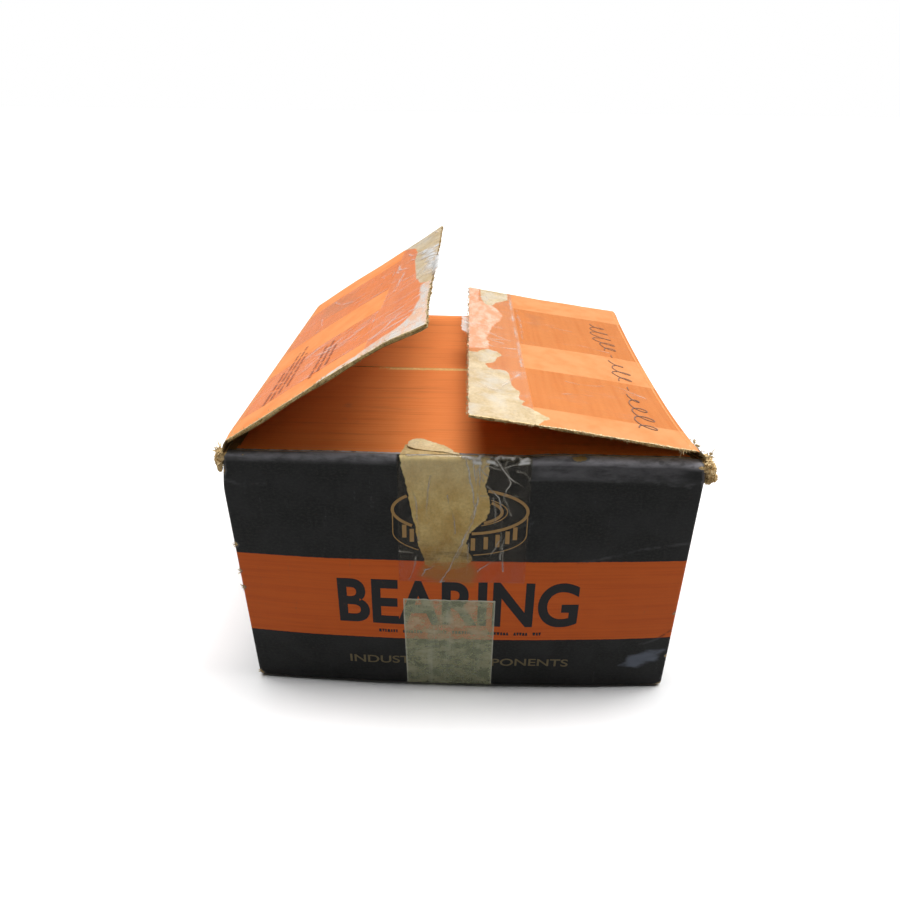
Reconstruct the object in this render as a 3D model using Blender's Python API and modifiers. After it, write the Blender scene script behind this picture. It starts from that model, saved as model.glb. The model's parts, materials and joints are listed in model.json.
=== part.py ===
"""Corrugated shipping carton, cut open at the top, with a single-row tapered roller bearing inside it.

Metres, +Z up. The origin is the middle of the carton's underside, and the printed front faces -Y.
Left and right are as seen from the front: left is -X. The bearing lies with its axis upright.
"""

import math

import bmesh
import bpy
from mathutils import Matrix, Vector

# Carton
WIDTH = 0.254
DEPTH = 0.254
LID_TOP = 0.1626
BOARD = 0.004
GAP = 0.0003
SEAM_HALF_GAP = 0.0006

# Outer top flaps. u runs from the crease to the free edge, w stands on the outer side, crease at u = w = 0.
CREASE_HEIGHT = LID_TOP + 0.0068
FLAP_LENGTH = 0.1264
FLAP_START = 0.0005
FLAP_TOP = -0.0007
LEFT_FLAP_ANGLE = math.radians(32.8)
RIGHT_FLAP_ANGLE = math.radians(8.6)

# Inner top flaps, which meet at a slit in the middle of the carton
INNER_FLAP_LENGTH = 0.122
INNER_FLAP_HALF_WIDTH = 0.1202

# Maker's joint, a crushed strip of board glued inside the left wall
GLUE_TAB_WIDTH = 0.035
GLUE_TAB_THICKNESS = 0.002

# Tape and torn paper
TAPE = 0.0003
SEAL_TAPE_X = (-0.035, 0.0365)
SEAL_TAPE_BOTTOM = 0.084
BOTTOM_TAPE_X = (-0.032, 0.0205)
BOTTOM_TAPE_TOP = 0.0715
TAPE_RECESS = 2 * TAPE
SEAM_TAPE_U = (0.090, 0.1259)
CROSS_TAPE_U = (0.003, 0.0895)
CROSS_TAPES = {"front": (-0.106, -0.047), "back": (-0.001, 0.084)}
TONGUE_THICKNESS = 0.0006
TONGUE_LIFT = 0.0005
TONGUE_OUTLINE = [(-0.033, -0.126), (-0.005, -0.126), (-0.004, -0.121), (-0.012, -0.113), (-0.024, -0.105),
                  (-0.031, -0.108)]

# Bearing, named as bearing makers do. Heights are above the cup's back face.
BEARING_FOOT = 2 * BOARD + 3 * GAP
BORE_RADIUS = 0.0635
CUP_RADIUS = 0.117475
CUP_WIDTH = 0.0492
CONE_FOOT = 0.0005
CONE_TOP = 0.0635
ROLLER_COUNT = 20
ROLLER_TILT = math.radians(14)
ROLLER_HALF_TAPER = math.radians(2)
ROLLER_LENGTH = 0.040
ROLLER_PITCH_RADIUS = 0.091
ROLLER_MID_HEIGHT = 0.0285
ROLLER_RADIUS = ROLLER_PITCH_RADIUS / math.sin(ROLLER_TILT) * math.tan(ROLLER_HALF_TAPER)
ROLLER_BEVEL = 0.0008
RACEWAY_CLEARANCE = 0.0003
BIG_RIB_RADIUS = 0.091
SMALL_RIB_RADIUS = 0.0757
CORNER = 0.0030
CAGE_OFFSET = (0.0040, 0.0065)
CAGE_TOP_RING = 0.0055
CAGE_FOOT_RING = (0.0018, 0.0043)
CAGE_FLANGE_OFFSET = -0.008
WINDOW_CLEARANCE = 0.0005
RING_STEPS = 60
ROLLER_SIDES = 16
WINDOW_SIDES = 24

FINISHES = {
    "printed_front": ((0.045, 0.040, 0.042), 0.55, 0.0, 1.0),
    "orange_board": ((0.72, 0.20, 0.055), 0.60, 0.0, 1.0),
    "kraft_board": ((0.52, 0.36, 0.19), 0.85, 0.0, 1.0),
    "clear_tape": ((0.80, 0.76, 0.66), 0.15, 0.0, 0.35),
    "frosted_tape": ((0.40, 0.38, 0.27), 0.35, 0.0, 0.75),
    "bearing_steel": ((0.56, 0.57, 0.58), 0.22, 1.0, 1.0),
    "cage_steel": ((0.34, 0.33, 0.31), 0.42, 1.0, 1.0),
}


def clear_scene():
    for obj in list(bpy.data.objects):
        bpy.data.objects.remove(obj, do_unlink=True)


def new_collection(name):
    collection = bpy.data.collections.new(name)
    bpy.context.scene.collection.children.link(collection)
    return collection


def make_finish(name):
    color, roughness, metallic, alpha = FINISHES[name]
    material = bpy.data.materials.new(name)
    material.use_nodes = True
    shader = material.node_tree.nodes["Principled BSDF"]
    shader.inputs["Base Color"].default_value = (*color, 1.0)
    shader.inputs["Roughness"].default_value = roughness
    shader.inputs["Metallic"].default_value = metallic
    shader.inputs["Alpha"].default_value = alpha
    return material


clear_scene()
PARTS = new_collection("bearing_in_carton")
CUTTERS = new_collection("cutters")
MATERIALS = {name: make_finish(name) for name in FINISHES}


def add_object(name, data, finish, parent=None):
    obj = bpy.data.objects.new(name, data)
    PARTS.objects.link(obj)
    obj.data.materials.append(MATERIALS[finish])
    obj.parent = parent
    return obj


def add_pivot(name, location, rotation=(0.0, 0.0, 0.0)):
    """An empty on a joint's axis, which carries the pieces that turn about it."""
    pivot = bpy.data.objects.new(name, None)
    PARTS.objects.link(pivot)
    pivot.location = location
    pivot.rotation_euler = rotation
    return pivot


def mesh_from(name, bm):
    mesh = bpy.data.meshes.new(name)
    bm.to_mesh(mesh)
    bm.free()
    return mesh


def add_panel(name, low, high, finish, parent=None):
    """A flat panel between two corners, given in its parent's frame."""
    low = Vector(low)
    high = Vector(high)
    size = Matrix.Diagonal((*(high - low), 1.0))
    bm = bmesh.new()
    bmesh.ops.create_cube(bm, size=1.0, matrix=Matrix.Translation((low + high) / 2) @ size)
    return add_object(name, mesh_from(name, bm), finish, parent)


def add_outline(name, points, thickness, finish, location=(0.0, 0.0, 0.0), rotation=(0.0, 0.0, 0.0)):
    """A flat outline in its own XY plane, given thickness to both sides."""
    curve = bpy.data.curves.new(name, "CURVE")
    curve.dimensions = "2D"
    curve.fill_mode = "BOTH"
    curve.extrude = thickness / 2
    spline = curve.splines.new("POLY")
    spline.points.add(len(points) - 1)
    for point, (x, y) in zip(spline.points, points):
        point.co = (x, y, 0.0, 1.0)
    spline.use_cyclic_u = True
    obj = add_object(name, curve, finish)
    obj.location = location
    obj.rotation_euler = rotation
    return obj


# Carton walls and bottom

def add_wall(name, half_length, turn, distance, finish):
    """An upright panel with mitred ends, so that the four walls meet corner to corner."""
    mitre_gap = GAP / 2 * math.sqrt(2)
    outer = half_length - mitre_gap
    inner = half_length - BOARD - mitre_gap
    outline = [(-outer, -distance), (outer, -distance), (inner, BOARD - distance), (-inner, BOARD - distance)]
    foot = BOARD + GAP
    middle = (foot + LID_TOP) / 2
    add_outline(name, outline, LID_TOP - foot, finish, (0.0, 0.0, middle), (0.0, 0.0, turn))


def add_walls():
    add_wall("front_wall", WIDTH / 2, 0.0, DEPTH / 2, "printed_front")
    add_wall("right_wall", DEPTH / 2, math.pi / 2, WIDTH / 2, "orange_board")
    add_wall("back_wall", WIDTH / 2, math.pi, DEPTH / 2, "orange_board")
    add_wall("left_wall", DEPTH / 2, -math.pi / 2, WIDTH / 2, "orange_board")
    inside_x = -WIDTH / 2 + BOARD + GAP
    inside_y = DEPTH / 2 - BOARD - GAP
    low = (inside_x, inside_y - GLUE_TAB_WIDTH, 2 * BOARD + 2 * GAP)
    high = (inside_x + GLUE_TAB_THICKNESS, inside_y, LID_TOP - BOARD - 2 * GAP)
    add_panel("glue_tab", low, high, "kraft_board")


def add_bottom():
    """The outer flaps carry the walls and are let in for the tape, which lies flush under their seam."""
    tape_left = BOTTOM_TAPE_X[0] - GAP
    tape_right = BOTTOM_TAPE_X[1] + GAP
    left = [(-WIDTH / 2, 0.0), (tape_left, 0.0), (tape_left, TAPE_RECESS), (-SEAM_HALF_GAP, TAPE_RECESS),
            (-SEAM_HALF_GAP, BOARD), (-WIDTH / 2, BOARD)]
    right = [(SEAM_HALF_GAP, TAPE_RECESS), (tape_right, TAPE_RECESS), (tape_right, 0.0), (WIDTH / 2, 0.0),
             (WIDTH / 2, BOARD), (SEAM_HALF_GAP, BOARD)]
    add_outline("bottom_left_flap", left, DEPTH, "kraft_board", rotation=(math.pi / 2, 0.0, 0.0))
    add_outline("bottom_right_flap", right, DEPTH, "kraft_board", rotation=(math.pi / 2, 0.0, 0.0))
    reach_x = WIDTH / 2 - BOARD - 2 * GAP
    reach_y = DEPTH / 2 - BOARD - GAP
    floor = BOARD + GAP
    for name, side in (("bottom_front_flap", -1), ("bottom_back_flap", 1)):
        y_low, y_high = sorted((side * reach_y, side * SEAM_HALF_GAP))
        add_panel(name, (-reach_x, y_low, floor), (reach_x, y_high, floor + BOARD), "kraft_board")


# Top flaps

def add_outer_flap(side, pivot):
    """The flap and its tape, in the pivot's frame: x is u, z is w, and y runs along the crease."""
    half = DEPTH / 2
    low = (FLAP_START, -half, FLAP_TOP - BOARD)
    add_panel(f"{side}_flap", low, (FLAP_LENGTH, half, FLAP_TOP), "orange_board", pivot)
    tape_low = FLAP_TOP + GAP
    tape_high = tape_low + TAPE
    low = (SEAM_TAPE_U[0], -half, tape_low)
    add_panel(f"{side}_seam_tape", low, (SEAM_TAPE_U[1], half, tape_high), "clear_tape", pivot)
    along = 1 if side == "left" else -1
    for place, ends in CROSS_TAPES.items():
        y_low, y_high = sorted(along * end for end in ends)
        low = (CROSS_TAPE_U[0], y_low, tape_low)
        high = (CROSS_TAPE_U[1], y_high, tape_high)
        add_panel(f"{side}_cross_tape_{place}", low, high, "clear_tape", pivot)


def add_top():
    left = add_pivot("left_flap_hinge", (-WIDTH / 2, 0.0, CREASE_HEIGHT), (0.0, -LEFT_FLAP_ANGLE, 0.0))
    right = add_pivot("right_flap_hinge", (WIDTH / 2, 0.0, CREASE_HEIGHT), (0.0, -RIGHT_FLAP_ANGLE, math.pi))
    add_outer_flap("left", left)
    add_outer_flap("right", right)
    crease_y = DEPTH / 2 - BOARD - GAP
    for name, side, turn in (("front_inner_flap", -1, 0.0), ("back_inner_flap", 1, math.pi)):
        pivot = add_pivot(f"{name}_hinge", (0.0, side * crease_y, LID_TOP - BOARD), (0.0, 0.0, turn))
        low = (-INNER_FLAP_HALF_WIDTH, 0.0, 0.0)
        high = (INNER_FLAP_HALF_WIDTH, INNER_FLAP_LENGTH, BOARD)
        add_panel(name, low, high, "orange_board", pivot)


# Tape on the walls, and the torn liner

def add_wall_tape():
    inner = DEPTH / 2 + GAP
    outer = inner + TAPE
    for name, side in (("front_seal_tape", -1), ("back_seal_tape", 1)):
        y_low, y_high = sorted((side * inner, side * outer))
        low = (SEAL_TAPE_X[0], y_low, SEAL_TAPE_BOTTOM)
        add_panel(name, low, (SEAL_TAPE_X[1], y_high, LID_TOP - GAP), "clear_tape")
    section = [(-outer, BOTTOM_TAPE_TOP), (-outer, 0.0), (outer, 0.0), (outer, BOTTOM_TAPE_TOP),
               (inner, BOTTOM_TAPE_TOP), (inner, TAPE), (-inner, TAPE), (-inner, BOTTOM_TAPE_TOP)]
    middle = sum(BOTTOM_TAPE_X) / 2
    width = BOTTOM_TAPE_X[1] - BOTTOM_TAPE_X[0]
    add_outline("bottom_tape", section, width, "frosted_tape", (middle, 0.0, 0.0),
                (math.pi / 2, 0.0, math.pi / 2))


def add_liner_tongue():
    height = LID_TOP + TONGUE_LIFT + TONGUE_THICKNESS / 2
    add_outline("liner_tongue", TONGUE_OUTLINE, TONGUE_THICKNESS, "kraft_board", (0.0, 0.0, height))


# Bearing

def beside_roller(along, out):
    """A point of the bearing's half section, along a roller's axis from its middle and out from that axis."""
    radius = ROLLER_PITCH_RADIUS + along * math.sin(ROLLER_TILT) + out * math.cos(ROLLER_TILT)
    height = ROLLER_MID_HEIGHT + along * math.cos(ROLLER_TILT) - out * math.sin(ROLLER_TILT)
    return radius, height


def roller_radius(along):
    return ROLLER_RADIUS + along * math.tan(ROLLER_HALF_TAPER)


def on_raceway(along, side):
    """A point just off a roller's surface: side is 1 on the cup's raceway and -1 on the cone's."""
    return beside_roller(along, side * (roller_radius(along) + RACEWAY_CLEARANCE))


def raceway_at_height(height, side):
    low = on_raceway(-ROLLER_LENGTH / 2, side)
    high = on_raceway(ROLLER_LENGTH / 2, side)
    share = (height - low[1]) / (high[1] - low[1])
    return low[0] + share * (high[0] - low[0]), height


def along_to_radius(along, radius):
    """The point at a given radius on the line square to a roller's axis."""
    out = (radius - ROLLER_PITCH_RADIUS - along * math.sin(ROLLER_TILT)) / math.cos(ROLLER_TILT)
    return beside_roller(along, out)


def add_turned(name, profile, finish):
    """A ring turned about Z. The profile runs down its outer side and back up its inner side."""
    bm = bmesh.new()
    points = [bm.verts.new((radius, 0.0, height)) for radius, height in profile]
    for start, end in zip(points, points[1:] + points[:1]):
        bm.edges.new((start, end))
    obj = add_object(name, mesh_from(name, bm), finish)
    obj.location.z = BEARING_FOOT
    screw = obj.modifiers.new("turn", "SCREW")
    screw.steps = RING_STEPS
    screw.render_steps = RING_STEPS
    screw.use_merge_vertices = True
    screw.merge_threshold = 0.00001
    screw.use_smooth_shade = True
    return obj


def add_cup():
    inner_foot = raceway_at_height(0.0, 1)
    inner_top = raceway_at_height(CUP_WIDTH, 1)
    profile = [(inner_top[0], CUP_WIDTH), (CUP_RADIUS - CORNER / 2, CUP_WIDTH), (CUP_RADIUS, CUP_WIDTH - CORNER / 2),
               (CUP_RADIUS, CORNER), (CUP_RADIUS - CORNER, 0.0), (inner_foot[0], 0.0)]
    add_turned("cup", profile, "bearing_steel")


def add_cone():
    rib_face = ROLLER_LENGTH / 2 + RACEWAY_CLEARANCE
    small_face = -ROLLER_LENGTH / 2 - 2 * RACEWAY_CLEARANCE
    edge = CORNER / 3
    profile = [(BORE_RADIUS + CORNER, CONE_TOP), (BIG_RIB_RADIUS - edge, CONE_TOP), (BIG_RIB_RADIUS, CONE_TOP - edge),
               along_to_radius(rib_face, BIG_RIB_RADIUS), on_raceway(rib_face, -1), on_raceway(small_face, -1),
               along_to_radius(small_face, SMALL_RIB_RADIUS), (SMALL_RIB_RADIUS, CONE_FOOT + edge),
               (SMALL_RIB_RADIUS - edge, CONE_FOOT), (BORE_RADIUS + edge, CONE_FOOT),
               (BORE_RADIUS, CONE_FOOT + edge), (BORE_RADIUS, CONE_TOP - CORNER)]
    add_turned("cone", profile, "bearing_steel")


def roller_places():
    """Each roller's place on the pitch cone, its axis tilted outwards towards the top."""
    for index in range(ROLLER_COUNT):
        turn = Matrix.Rotation(2 * math.pi * index / ROLLER_COUNT, 4, "Z")
        shift = Matrix.Translation((ROLLER_PITCH_RADIUS, 0.0, ROLLER_MID_HEIGHT))
        yield turn @ shift @ Matrix.Rotation(ROLLER_TILT, 4, "Y")


def add_tapered_cylinder(bm, length, growth, sides, place):
    """A cylinder a little larger than a roller by growth, or a roller itself where growth is 0."""
    bmesh.ops.create_cone(bm, cap_ends=True, segments=sides, radius1=roller_radius(-length / 2) + growth,
                          radius2=roller_radius(length / 2) + growth, depth=length, matrix=place)


def add_rollers():
    bm = bmesh.new()
    add_tapered_cylinder(bm, ROLLER_LENGTH, 0.0, ROLLER_SIDES, Matrix())
    mesh = mesh_from("roller", bm)
    mesh.shade_smooth()
    mesh.set_sharp_from_angle(angle=math.radians(40))
    mesh.materials.append(MATERIALS["bearing_steel"])
    for index, place in enumerate(roller_places(), start=1):
        roller = bpy.data.objects.new(f"roller_{index:02d}", mesh)
        PARTS.objects.link(roller)
        roller.matrix_world = Matrix.Translation((0.0, 0.0, BEARING_FOOT)) @ place
        bevel = roller.modifiers.new("end_edges", "BEVEL")
        bevel.width = ROLLER_BEVEL
        bevel.segments = 1
        bevel.limit_method = "ANGLE"
        bevel.angle_limit = math.radians(60)


def add_cage():
    inner, outer = CAGE_OFFSET
    top = ROLLER_LENGTH / 2 + CAGE_TOP_RING
    ring_top = -ROLLER_LENGTH / 2 - CAGE_FOOT_RING[0]
    ring_foot = -ROLLER_LENGTH / 2 - CAGE_FOOT_RING[1]
    profile = [beside_roller(top, outer), beside_roller(ring_foot, outer), beside_roller(ring_foot, CAGE_FLANGE_OFFSET),
               beside_roller(ring_top, CAGE_FLANGE_OFFSET), beside_roller(ring_top, inner), beside_roller(top, inner)]
    cage = add_turned("cage", profile, "cage_steel")
    bm = bmesh.new()
    for place in roller_places():
        length = ROLLER_LENGTH + 2 * WINDOW_CLEARANCE
        add_tapered_cylinder(bm, length, WINDOW_CLEARANCE, WINDOW_SIDES, place)
    cutter = bpy.data.objects.new("cage_windows", mesh_from("cage_windows", bm))
    CUTTERS.objects.link(cutter)
    cutter.location.z = BEARING_FOOT
    cutter.hide_render = True
    cutter.display_type = "WIRE"
    cut = cage.modifiers.new("windows", "BOOLEAN")
    cut.operation = "DIFFERENCE"
    cut.solver = "EXACT"
    cut.object = cutter


add_walls()
add_bottom()
add_top()
add_wall_tape()
add_liner_tongue()
add_cup()
add_cone()
add_cage()
add_rollers()
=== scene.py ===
"""Looks of the worn carton and the tapered roller bearing inside it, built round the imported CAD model.

Metres, +Z up, in the CAD model's own frame. Paper, board and tape are grids of flat coordinates (a, b),
as they would lie unfolded, which a place function bends into the carton's shape. w stands off the surface.
"""
import json
import math
import random

import bmesh
import bpy
import numpy as np
from mathutils import Matrix, Vector, noise


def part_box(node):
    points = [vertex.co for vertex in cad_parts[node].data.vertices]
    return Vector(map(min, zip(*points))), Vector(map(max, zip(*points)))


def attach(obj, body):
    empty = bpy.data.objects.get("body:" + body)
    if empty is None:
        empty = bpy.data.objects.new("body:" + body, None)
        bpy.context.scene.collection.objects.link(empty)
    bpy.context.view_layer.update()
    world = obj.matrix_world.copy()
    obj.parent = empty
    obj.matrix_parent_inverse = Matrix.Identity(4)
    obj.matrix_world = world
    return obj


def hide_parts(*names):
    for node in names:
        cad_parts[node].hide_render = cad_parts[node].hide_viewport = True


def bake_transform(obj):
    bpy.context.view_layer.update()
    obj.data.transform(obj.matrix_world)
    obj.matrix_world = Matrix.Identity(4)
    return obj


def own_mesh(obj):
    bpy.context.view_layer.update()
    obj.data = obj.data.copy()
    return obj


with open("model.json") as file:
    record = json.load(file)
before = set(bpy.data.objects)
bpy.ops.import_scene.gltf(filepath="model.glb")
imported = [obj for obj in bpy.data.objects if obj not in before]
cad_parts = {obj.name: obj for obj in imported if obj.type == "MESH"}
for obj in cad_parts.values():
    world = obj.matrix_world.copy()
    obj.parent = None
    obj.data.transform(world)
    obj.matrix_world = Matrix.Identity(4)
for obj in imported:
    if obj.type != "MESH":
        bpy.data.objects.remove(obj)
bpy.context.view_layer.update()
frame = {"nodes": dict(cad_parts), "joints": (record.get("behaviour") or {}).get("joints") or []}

MM = 0.001
JOINTS = {joint["name"]: joint for joint in frame["joints"]}
# Which way is outwards at each side: along x for left and right, along y for front and back
OUTWARD = {"left": -1.0, "right": 1.0, "front": -1.0, "back": 1.0}

# Sizes read from the frame
FRONT_LOW, FRONT_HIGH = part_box("front_wall")
HALF_WIDTH = -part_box("left_wall")[0].x
HALF_DEPTH = -FRONT_LOW.y
BOARD = FRONT_HIGH.y - FRONT_LOW.y
LID_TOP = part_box("front_inner_flap")[1].z

# The carton's rounded edges and its corrugated board
CORNER_RADIUS = 1.6 * MM
CREASE_RADIUS = 3.0 * MM
FOOT_CENTRE = 3.4 * MM
FOOT_ARC = math.radians(60)
LINER = 0.45 * MM
MEDIUM = 0.3 * MM
FLUTE = 7.6 * MM
TAPE = 0.12 * MM

# How fine the grids are: printed walls along and up, printed flaps, plain liner, and what lies inside
WALL_PITCH = (1.3 * MM, 1.1 * MM)
FLAP_PITCH = 1.8 * MM
PLAIN_PITCH = 4.0 * MM
INSIDE_PITCH = 5.0 * MM
# Gap between a liner and the medium's crests
CREST_GAP = 0.02 * MM

# Print on the walls: black, an orange band, black. Heights at the left and right corner of the front.
BAND_LOW = (40.0 * MM, 41.5 * MM)
BAND_HIGH = (97.8 * MM, 99.2 * MM)

# Camera: its place, and its turns in degrees about Z, down, and about its own view
CAMERA_PLACE = (-0.0005, -0.4389, 0.3327)
CAMERA_YAW, CAMERA_PITCH, CAMERA_ROLL = -1.18, 28.03, 0.663
CAMERA_LENS = 27.04
SENSOR_WIDTH = 36.0

# Light: soft suns in a row make one long strip, brightest in the middle. Each is its lean and its share.
STRIP = ((-35, 0.28), (-15, 0.73), (5, 1.0), (25, 0.73), (45, 0.28))
STRIP_STRENGTH = 1.75
STRIP_TILT = -8
SUN_WIDTH = 26
ROOM_LIGHT = 0.04
FLOOR_BOUNCE = 0.38


# Camera, light and floor

def aim_camera():
    camera = bpy.data.objects.new("camera", bpy.data.cameras.new("camera"))
    bpy.context.scene.collection.objects.link(camera)
    yaw, pitch, roll = (math.radians(turn) for turn in (CAMERA_YAW, CAMERA_PITCH, CAMERA_ROLL))
    forward = Vector((math.sin(yaw) * math.cos(pitch), math.cos(yaw) * math.cos(pitch), -math.sin(pitch)))
    right = Vector((math.cos(yaw), -math.sin(yaw), 0.0))
    up = right.cross(forward)
    turned_right = math.cos(roll) * right + math.sin(roll) * up
    turned_up = math.cos(roll) * up - math.sin(roll) * right
    axes = Matrix((turned_right, turned_up, -forward)).transposed().to_4x4()
    camera.matrix_world = Matrix.Translation(CAMERA_PLACE) @ axes
    camera.data.lens = CAMERA_LENS
    camera.data.sensor_width = SENSOR_WIDTH
    camera.data.clip_start = 0.01
    bpy.context.scene.camera = camera


def light_scene():
    """A long soft strip of light overhead, across the carton, and a little light from the room."""
    bpy.context.scene.view_settings.view_transform = "Standard"
    for number, (lean, share) in enumerate(STRIP):
        light = bpy.data.lights.new(f"strip_{number}", "SUN")
        light.energy = STRIP_STRENGTH * share
        light.angle = math.radians(SUN_WIDTH)
        lamp = bpy.data.objects.new(light.name, light)
        lamp.rotation_euler = (math.radians(STRIP_TILT), math.radians(lean), 0.0)
        bpy.context.scene.collection.objects.link(lamp)
    world = bpy.data.worlds.new("studio")
    bpy.context.scene.world = world
    world.use_nodes = True
    nodes = world.node_tree.nodes
    background = nodes["Background"]
    background.inputs["Color"].default_value = (1.0, 1.0, 1.0, 1.0)
    path = nodes.new("ShaderNodeLightPath")
    level = nodes.new("ShaderNodeMapRange")
    level.inputs["To Min"].default_value = ROOM_LIGHT
    level.inputs["To Max"].default_value = 1.0
    world.node_tree.links.new(path.outputs["Is Camera Ray"], level.inputs["Value"])
    world.node_tree.links.new(level.outputs["Result"], background.inputs["Strength"])


def lay_floor():
    bm = bmesh.new()
    bmesh.ops.create_grid(bm, x_segments=2, y_segments=2, size=12.0)
    mesh = mesh_of("floor", bm)
    floor = bpy.data.objects.new("floor", mesh)
    bpy.context.scene.collection.objects.link(floor)
    paint = Paint("floor")
    seen = paint.add("ShaderNodeLightPath").outputs["Is Camera Ray"]
    paint.feed("Base Color", paint.mix(seen, (FLOOR_BOUNCE,) * 3, (0.95, 0.95, 0.95)))
    paint.feed("Roughness", 0.9)
    mesh.materials.append(paint.material)


# Materials

# Places of the colour sockets on a Mix node
MIX_FIRST, MIX_SECOND, MIX_RESULT = 6, 7, 2


class Paint:
    """One procedural material: short calls that add nodes round its Principled shader."""

    def __init__(self, name):
        self.material = bpy.data.materials.new(name)
        self.material.use_nodes = True
        self.tree = self.material.node_tree
        self.shader = self.tree.nodes["Principled BSDF"]

    def join(self, socket, value):
        if isinstance(value, bpy.types.NodeSocket):
            self.tree.links.new(value, socket)
        elif socket.type == "RGBA" and len(value) == 3:
            socket.default_value = (*value, 1.0)
        else:
            socket.default_value = value

    def add(self, kind, **inputs):
        node = self.tree.nodes.new(kind)
        for key, value in inputs.items():
            self.join(node.inputs[key.replace("_", " ")], value)
        return node

    def feed(self, socket, value):
        self.join(self.shader.inputs[socket], value)

    def field(self, name, kind="Fac"):
        node = self.add("ShaderNodeAttribute")
        node.attribute_name = name
        return node.outputs[kind]

    def flat(self, stretch=(1.0, 1.0)):
        """The flat coordinates of a sheet, in metres, stretched along a and b."""
        node = self.add("ShaderNodeMapping", Vector=self.field("flat", "Vector"), Scale=(*stretch, 1.0))
        return node.outputs["Vector"]

    def body(self):
        return self.add("ShaderNodeTexCoord").outputs["Object"]

    def noise(self, where, scale, detail=3.0, rough=0.55):
        node = self.add("ShaderNodeTexNoise", Vector=where, Scale=scale, Detail=detail, Roughness=rough)
        return node.outputs["Fac"]

    def math(self, operation, first, second=0.0):
        node = self.add("ShaderNodeMath")
        node.operation = operation
        self.join(node.inputs[0], first)
        self.join(node.inputs[1], second)
        return node.outputs[0]

    def sum(self, *values):
        total = values[0]
        for value in values[1:]:
            total = self.math("ADD", total, value)
        return total

    def times(self, first, second):
        return self.math("MULTIPLY", first, second)

    def ramp(self, value, low, high, to_low=0.0, to_high=1.0):
        node = self.add("ShaderNodeMapRange", Value=value)
        node.interpolation_type = "SMOOTHSTEP"
        for key, number in (("From Min", low), ("From Max", high), ("To Min", to_low), ("To Max", to_high)):
            self.join(node.inputs[key], number)
        return node.outputs["Result"]

    def mix(self, share, first, second, blend="MIX"):
        node = self.add("ShaderNodeMix")
        node.data_type = "RGBA"
        node.blend_type = blend
        self.join(node.inputs["Factor"], share)
        self.join(node.inputs[MIX_FIRST], first)
        self.join(node.inputs[MIX_SECOND], second)
        return node.outputs[MIX_RESULT]

    def surface(self, colour, rough, specular):
        self.feed("Base Color", colour)
        self.feed("Roughness", rough)
        self.feed("Specular IOR Level", specular)

    def bump(self, height, distance, strength=1.0):
        node = self.add("ShaderNodeBump", Height=height, Distance=distance, Strength=strength)
        self.feed("Normal", node.outputs["Normal"])


BLACK = (0.013, 0.0135, 0.013)
WALL_ORANGE = (0.84, 0.152, 0.015)
WALL_ORANGE_DEEP = (0.74, 0.122, 0.011)
LID_ORANGE = (0.92, 0.290, 0.080)
LID_ORANGE_DEEP = (0.84, 0.225, 0.050)
# An outer flap's orange under tape, its deeper streaks, and the faded orange beside the tape
FLAP_INKS = {"left": ((0.84, 0.245, 0.062), (0.76, 0.195, 0.044), (0.88, 0.335, 0.115)),
             "right": ((0.66, 0.235, 0.072), (0.60, 0.190, 0.052), (0.72, 0.310, 0.120))}
KRAFT = (0.54, 0.355, 0.140)
PALE_KRAFT = (0.76, 0.570, 0.280)


def kraft_colour(paint, where, dark=KRAFT, pale=PALE_KRAFT):
    """Brown paper with fibres, specks and cloudy patches."""
    cloud = paint.ramp(paint.noise(where, 70.0, 5.0, 0.65), 0.3, 0.7)
    speck = paint.ramp(paint.noise(where, 620.0, 3.0, 0.7), 0.38, 0.66)
    base = paint.mix(cloud, dark, pale)
    return paint.mix(paint.times(speck, 0.28), base, tuple(0.5 * c for c in dark))


def paper_grain(paint, where):
    return paint.noise(where, 900.0, 3.0, 0.7)


def kraft_paint(name, dark, pale):
    paint = Paint(name)
    where = paint.body()
    paint.surface(kraft_colour(paint, where, dark, pale), 0.9, 0.2)
    paint.bump(paper_grain(paint, where), 0.15 * MM, 0.8)
    return paint.material


def cut_paint():
    """A crushed cut edge of corrugated board: gold fibres, with painted shade in the hollows, in runs along
    the cut.
    """
    paint = Paint("crushed_cut")
    where = paint.body()
    fibres = paint.noise(where, 750.0, 5.0, 0.75)
    runs = paint.noise(paint.flat((60.0, 3.0)), 1.0, 5.0, 0.7)
    # Gold where the fibres stand out, painted shade in the hollows between them.
    light = paint.ramp(paint.sum(fibres, paint.times(runs, 0.8)), 0.74, 0.94)
    paint.surface(paint.mix(light, (0.36, 0.20, 0.06), (1.0, 0.80, 0.38)), 0.95, 0.1)
    paint.bump(fibres, 0.4 * MM, 1.0)
    return paint.material


def wad_paint():
    """Crushed board: pale on its raised fibres, with painted shade in its hollows."""
    paint = Paint("crushed_board")
    where = paint.body()
    # How deep each point lies: the hollows are darkened as painted shade.
    depth = paint.sum(paint.field("raised"), paint.times(paint.noise(where, 900.0, 4.0), 0.5), -0.25)
    paint.surface(paint.mix(paint.ramp(depth, 0.15, 0.62), (0.22, 0.13, 0.05), (0.92, 0.70, 0.38)), 0.95, 0.1)
    paint.bump(paint.noise(where, 1500.0, 3.0, 0.7), 0.3 * MM, 1.0)
    return paint.material


def streaked_ink(paint, ink, deep, streak_a, streak_b):
    """Print with streaks along one way of the sheet, and cloudy wear."""
    streaks = paint.noise(paint.flat((streak_a, streak_b)), 1.0, 4.0, 0.6)
    cloud = paint.noise(paint.flat(), 28.0, 5.0, 0.6)
    colour = paint.mix(paint.ramp(streaks, 0.35, 0.75), ink, deep)
    return paint.mix(paint.ramp(cloud, 0.35, 0.75, 0.0, 0.35), colour, tuple(min(1.0, 1.12 * c) for c in ink))


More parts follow.
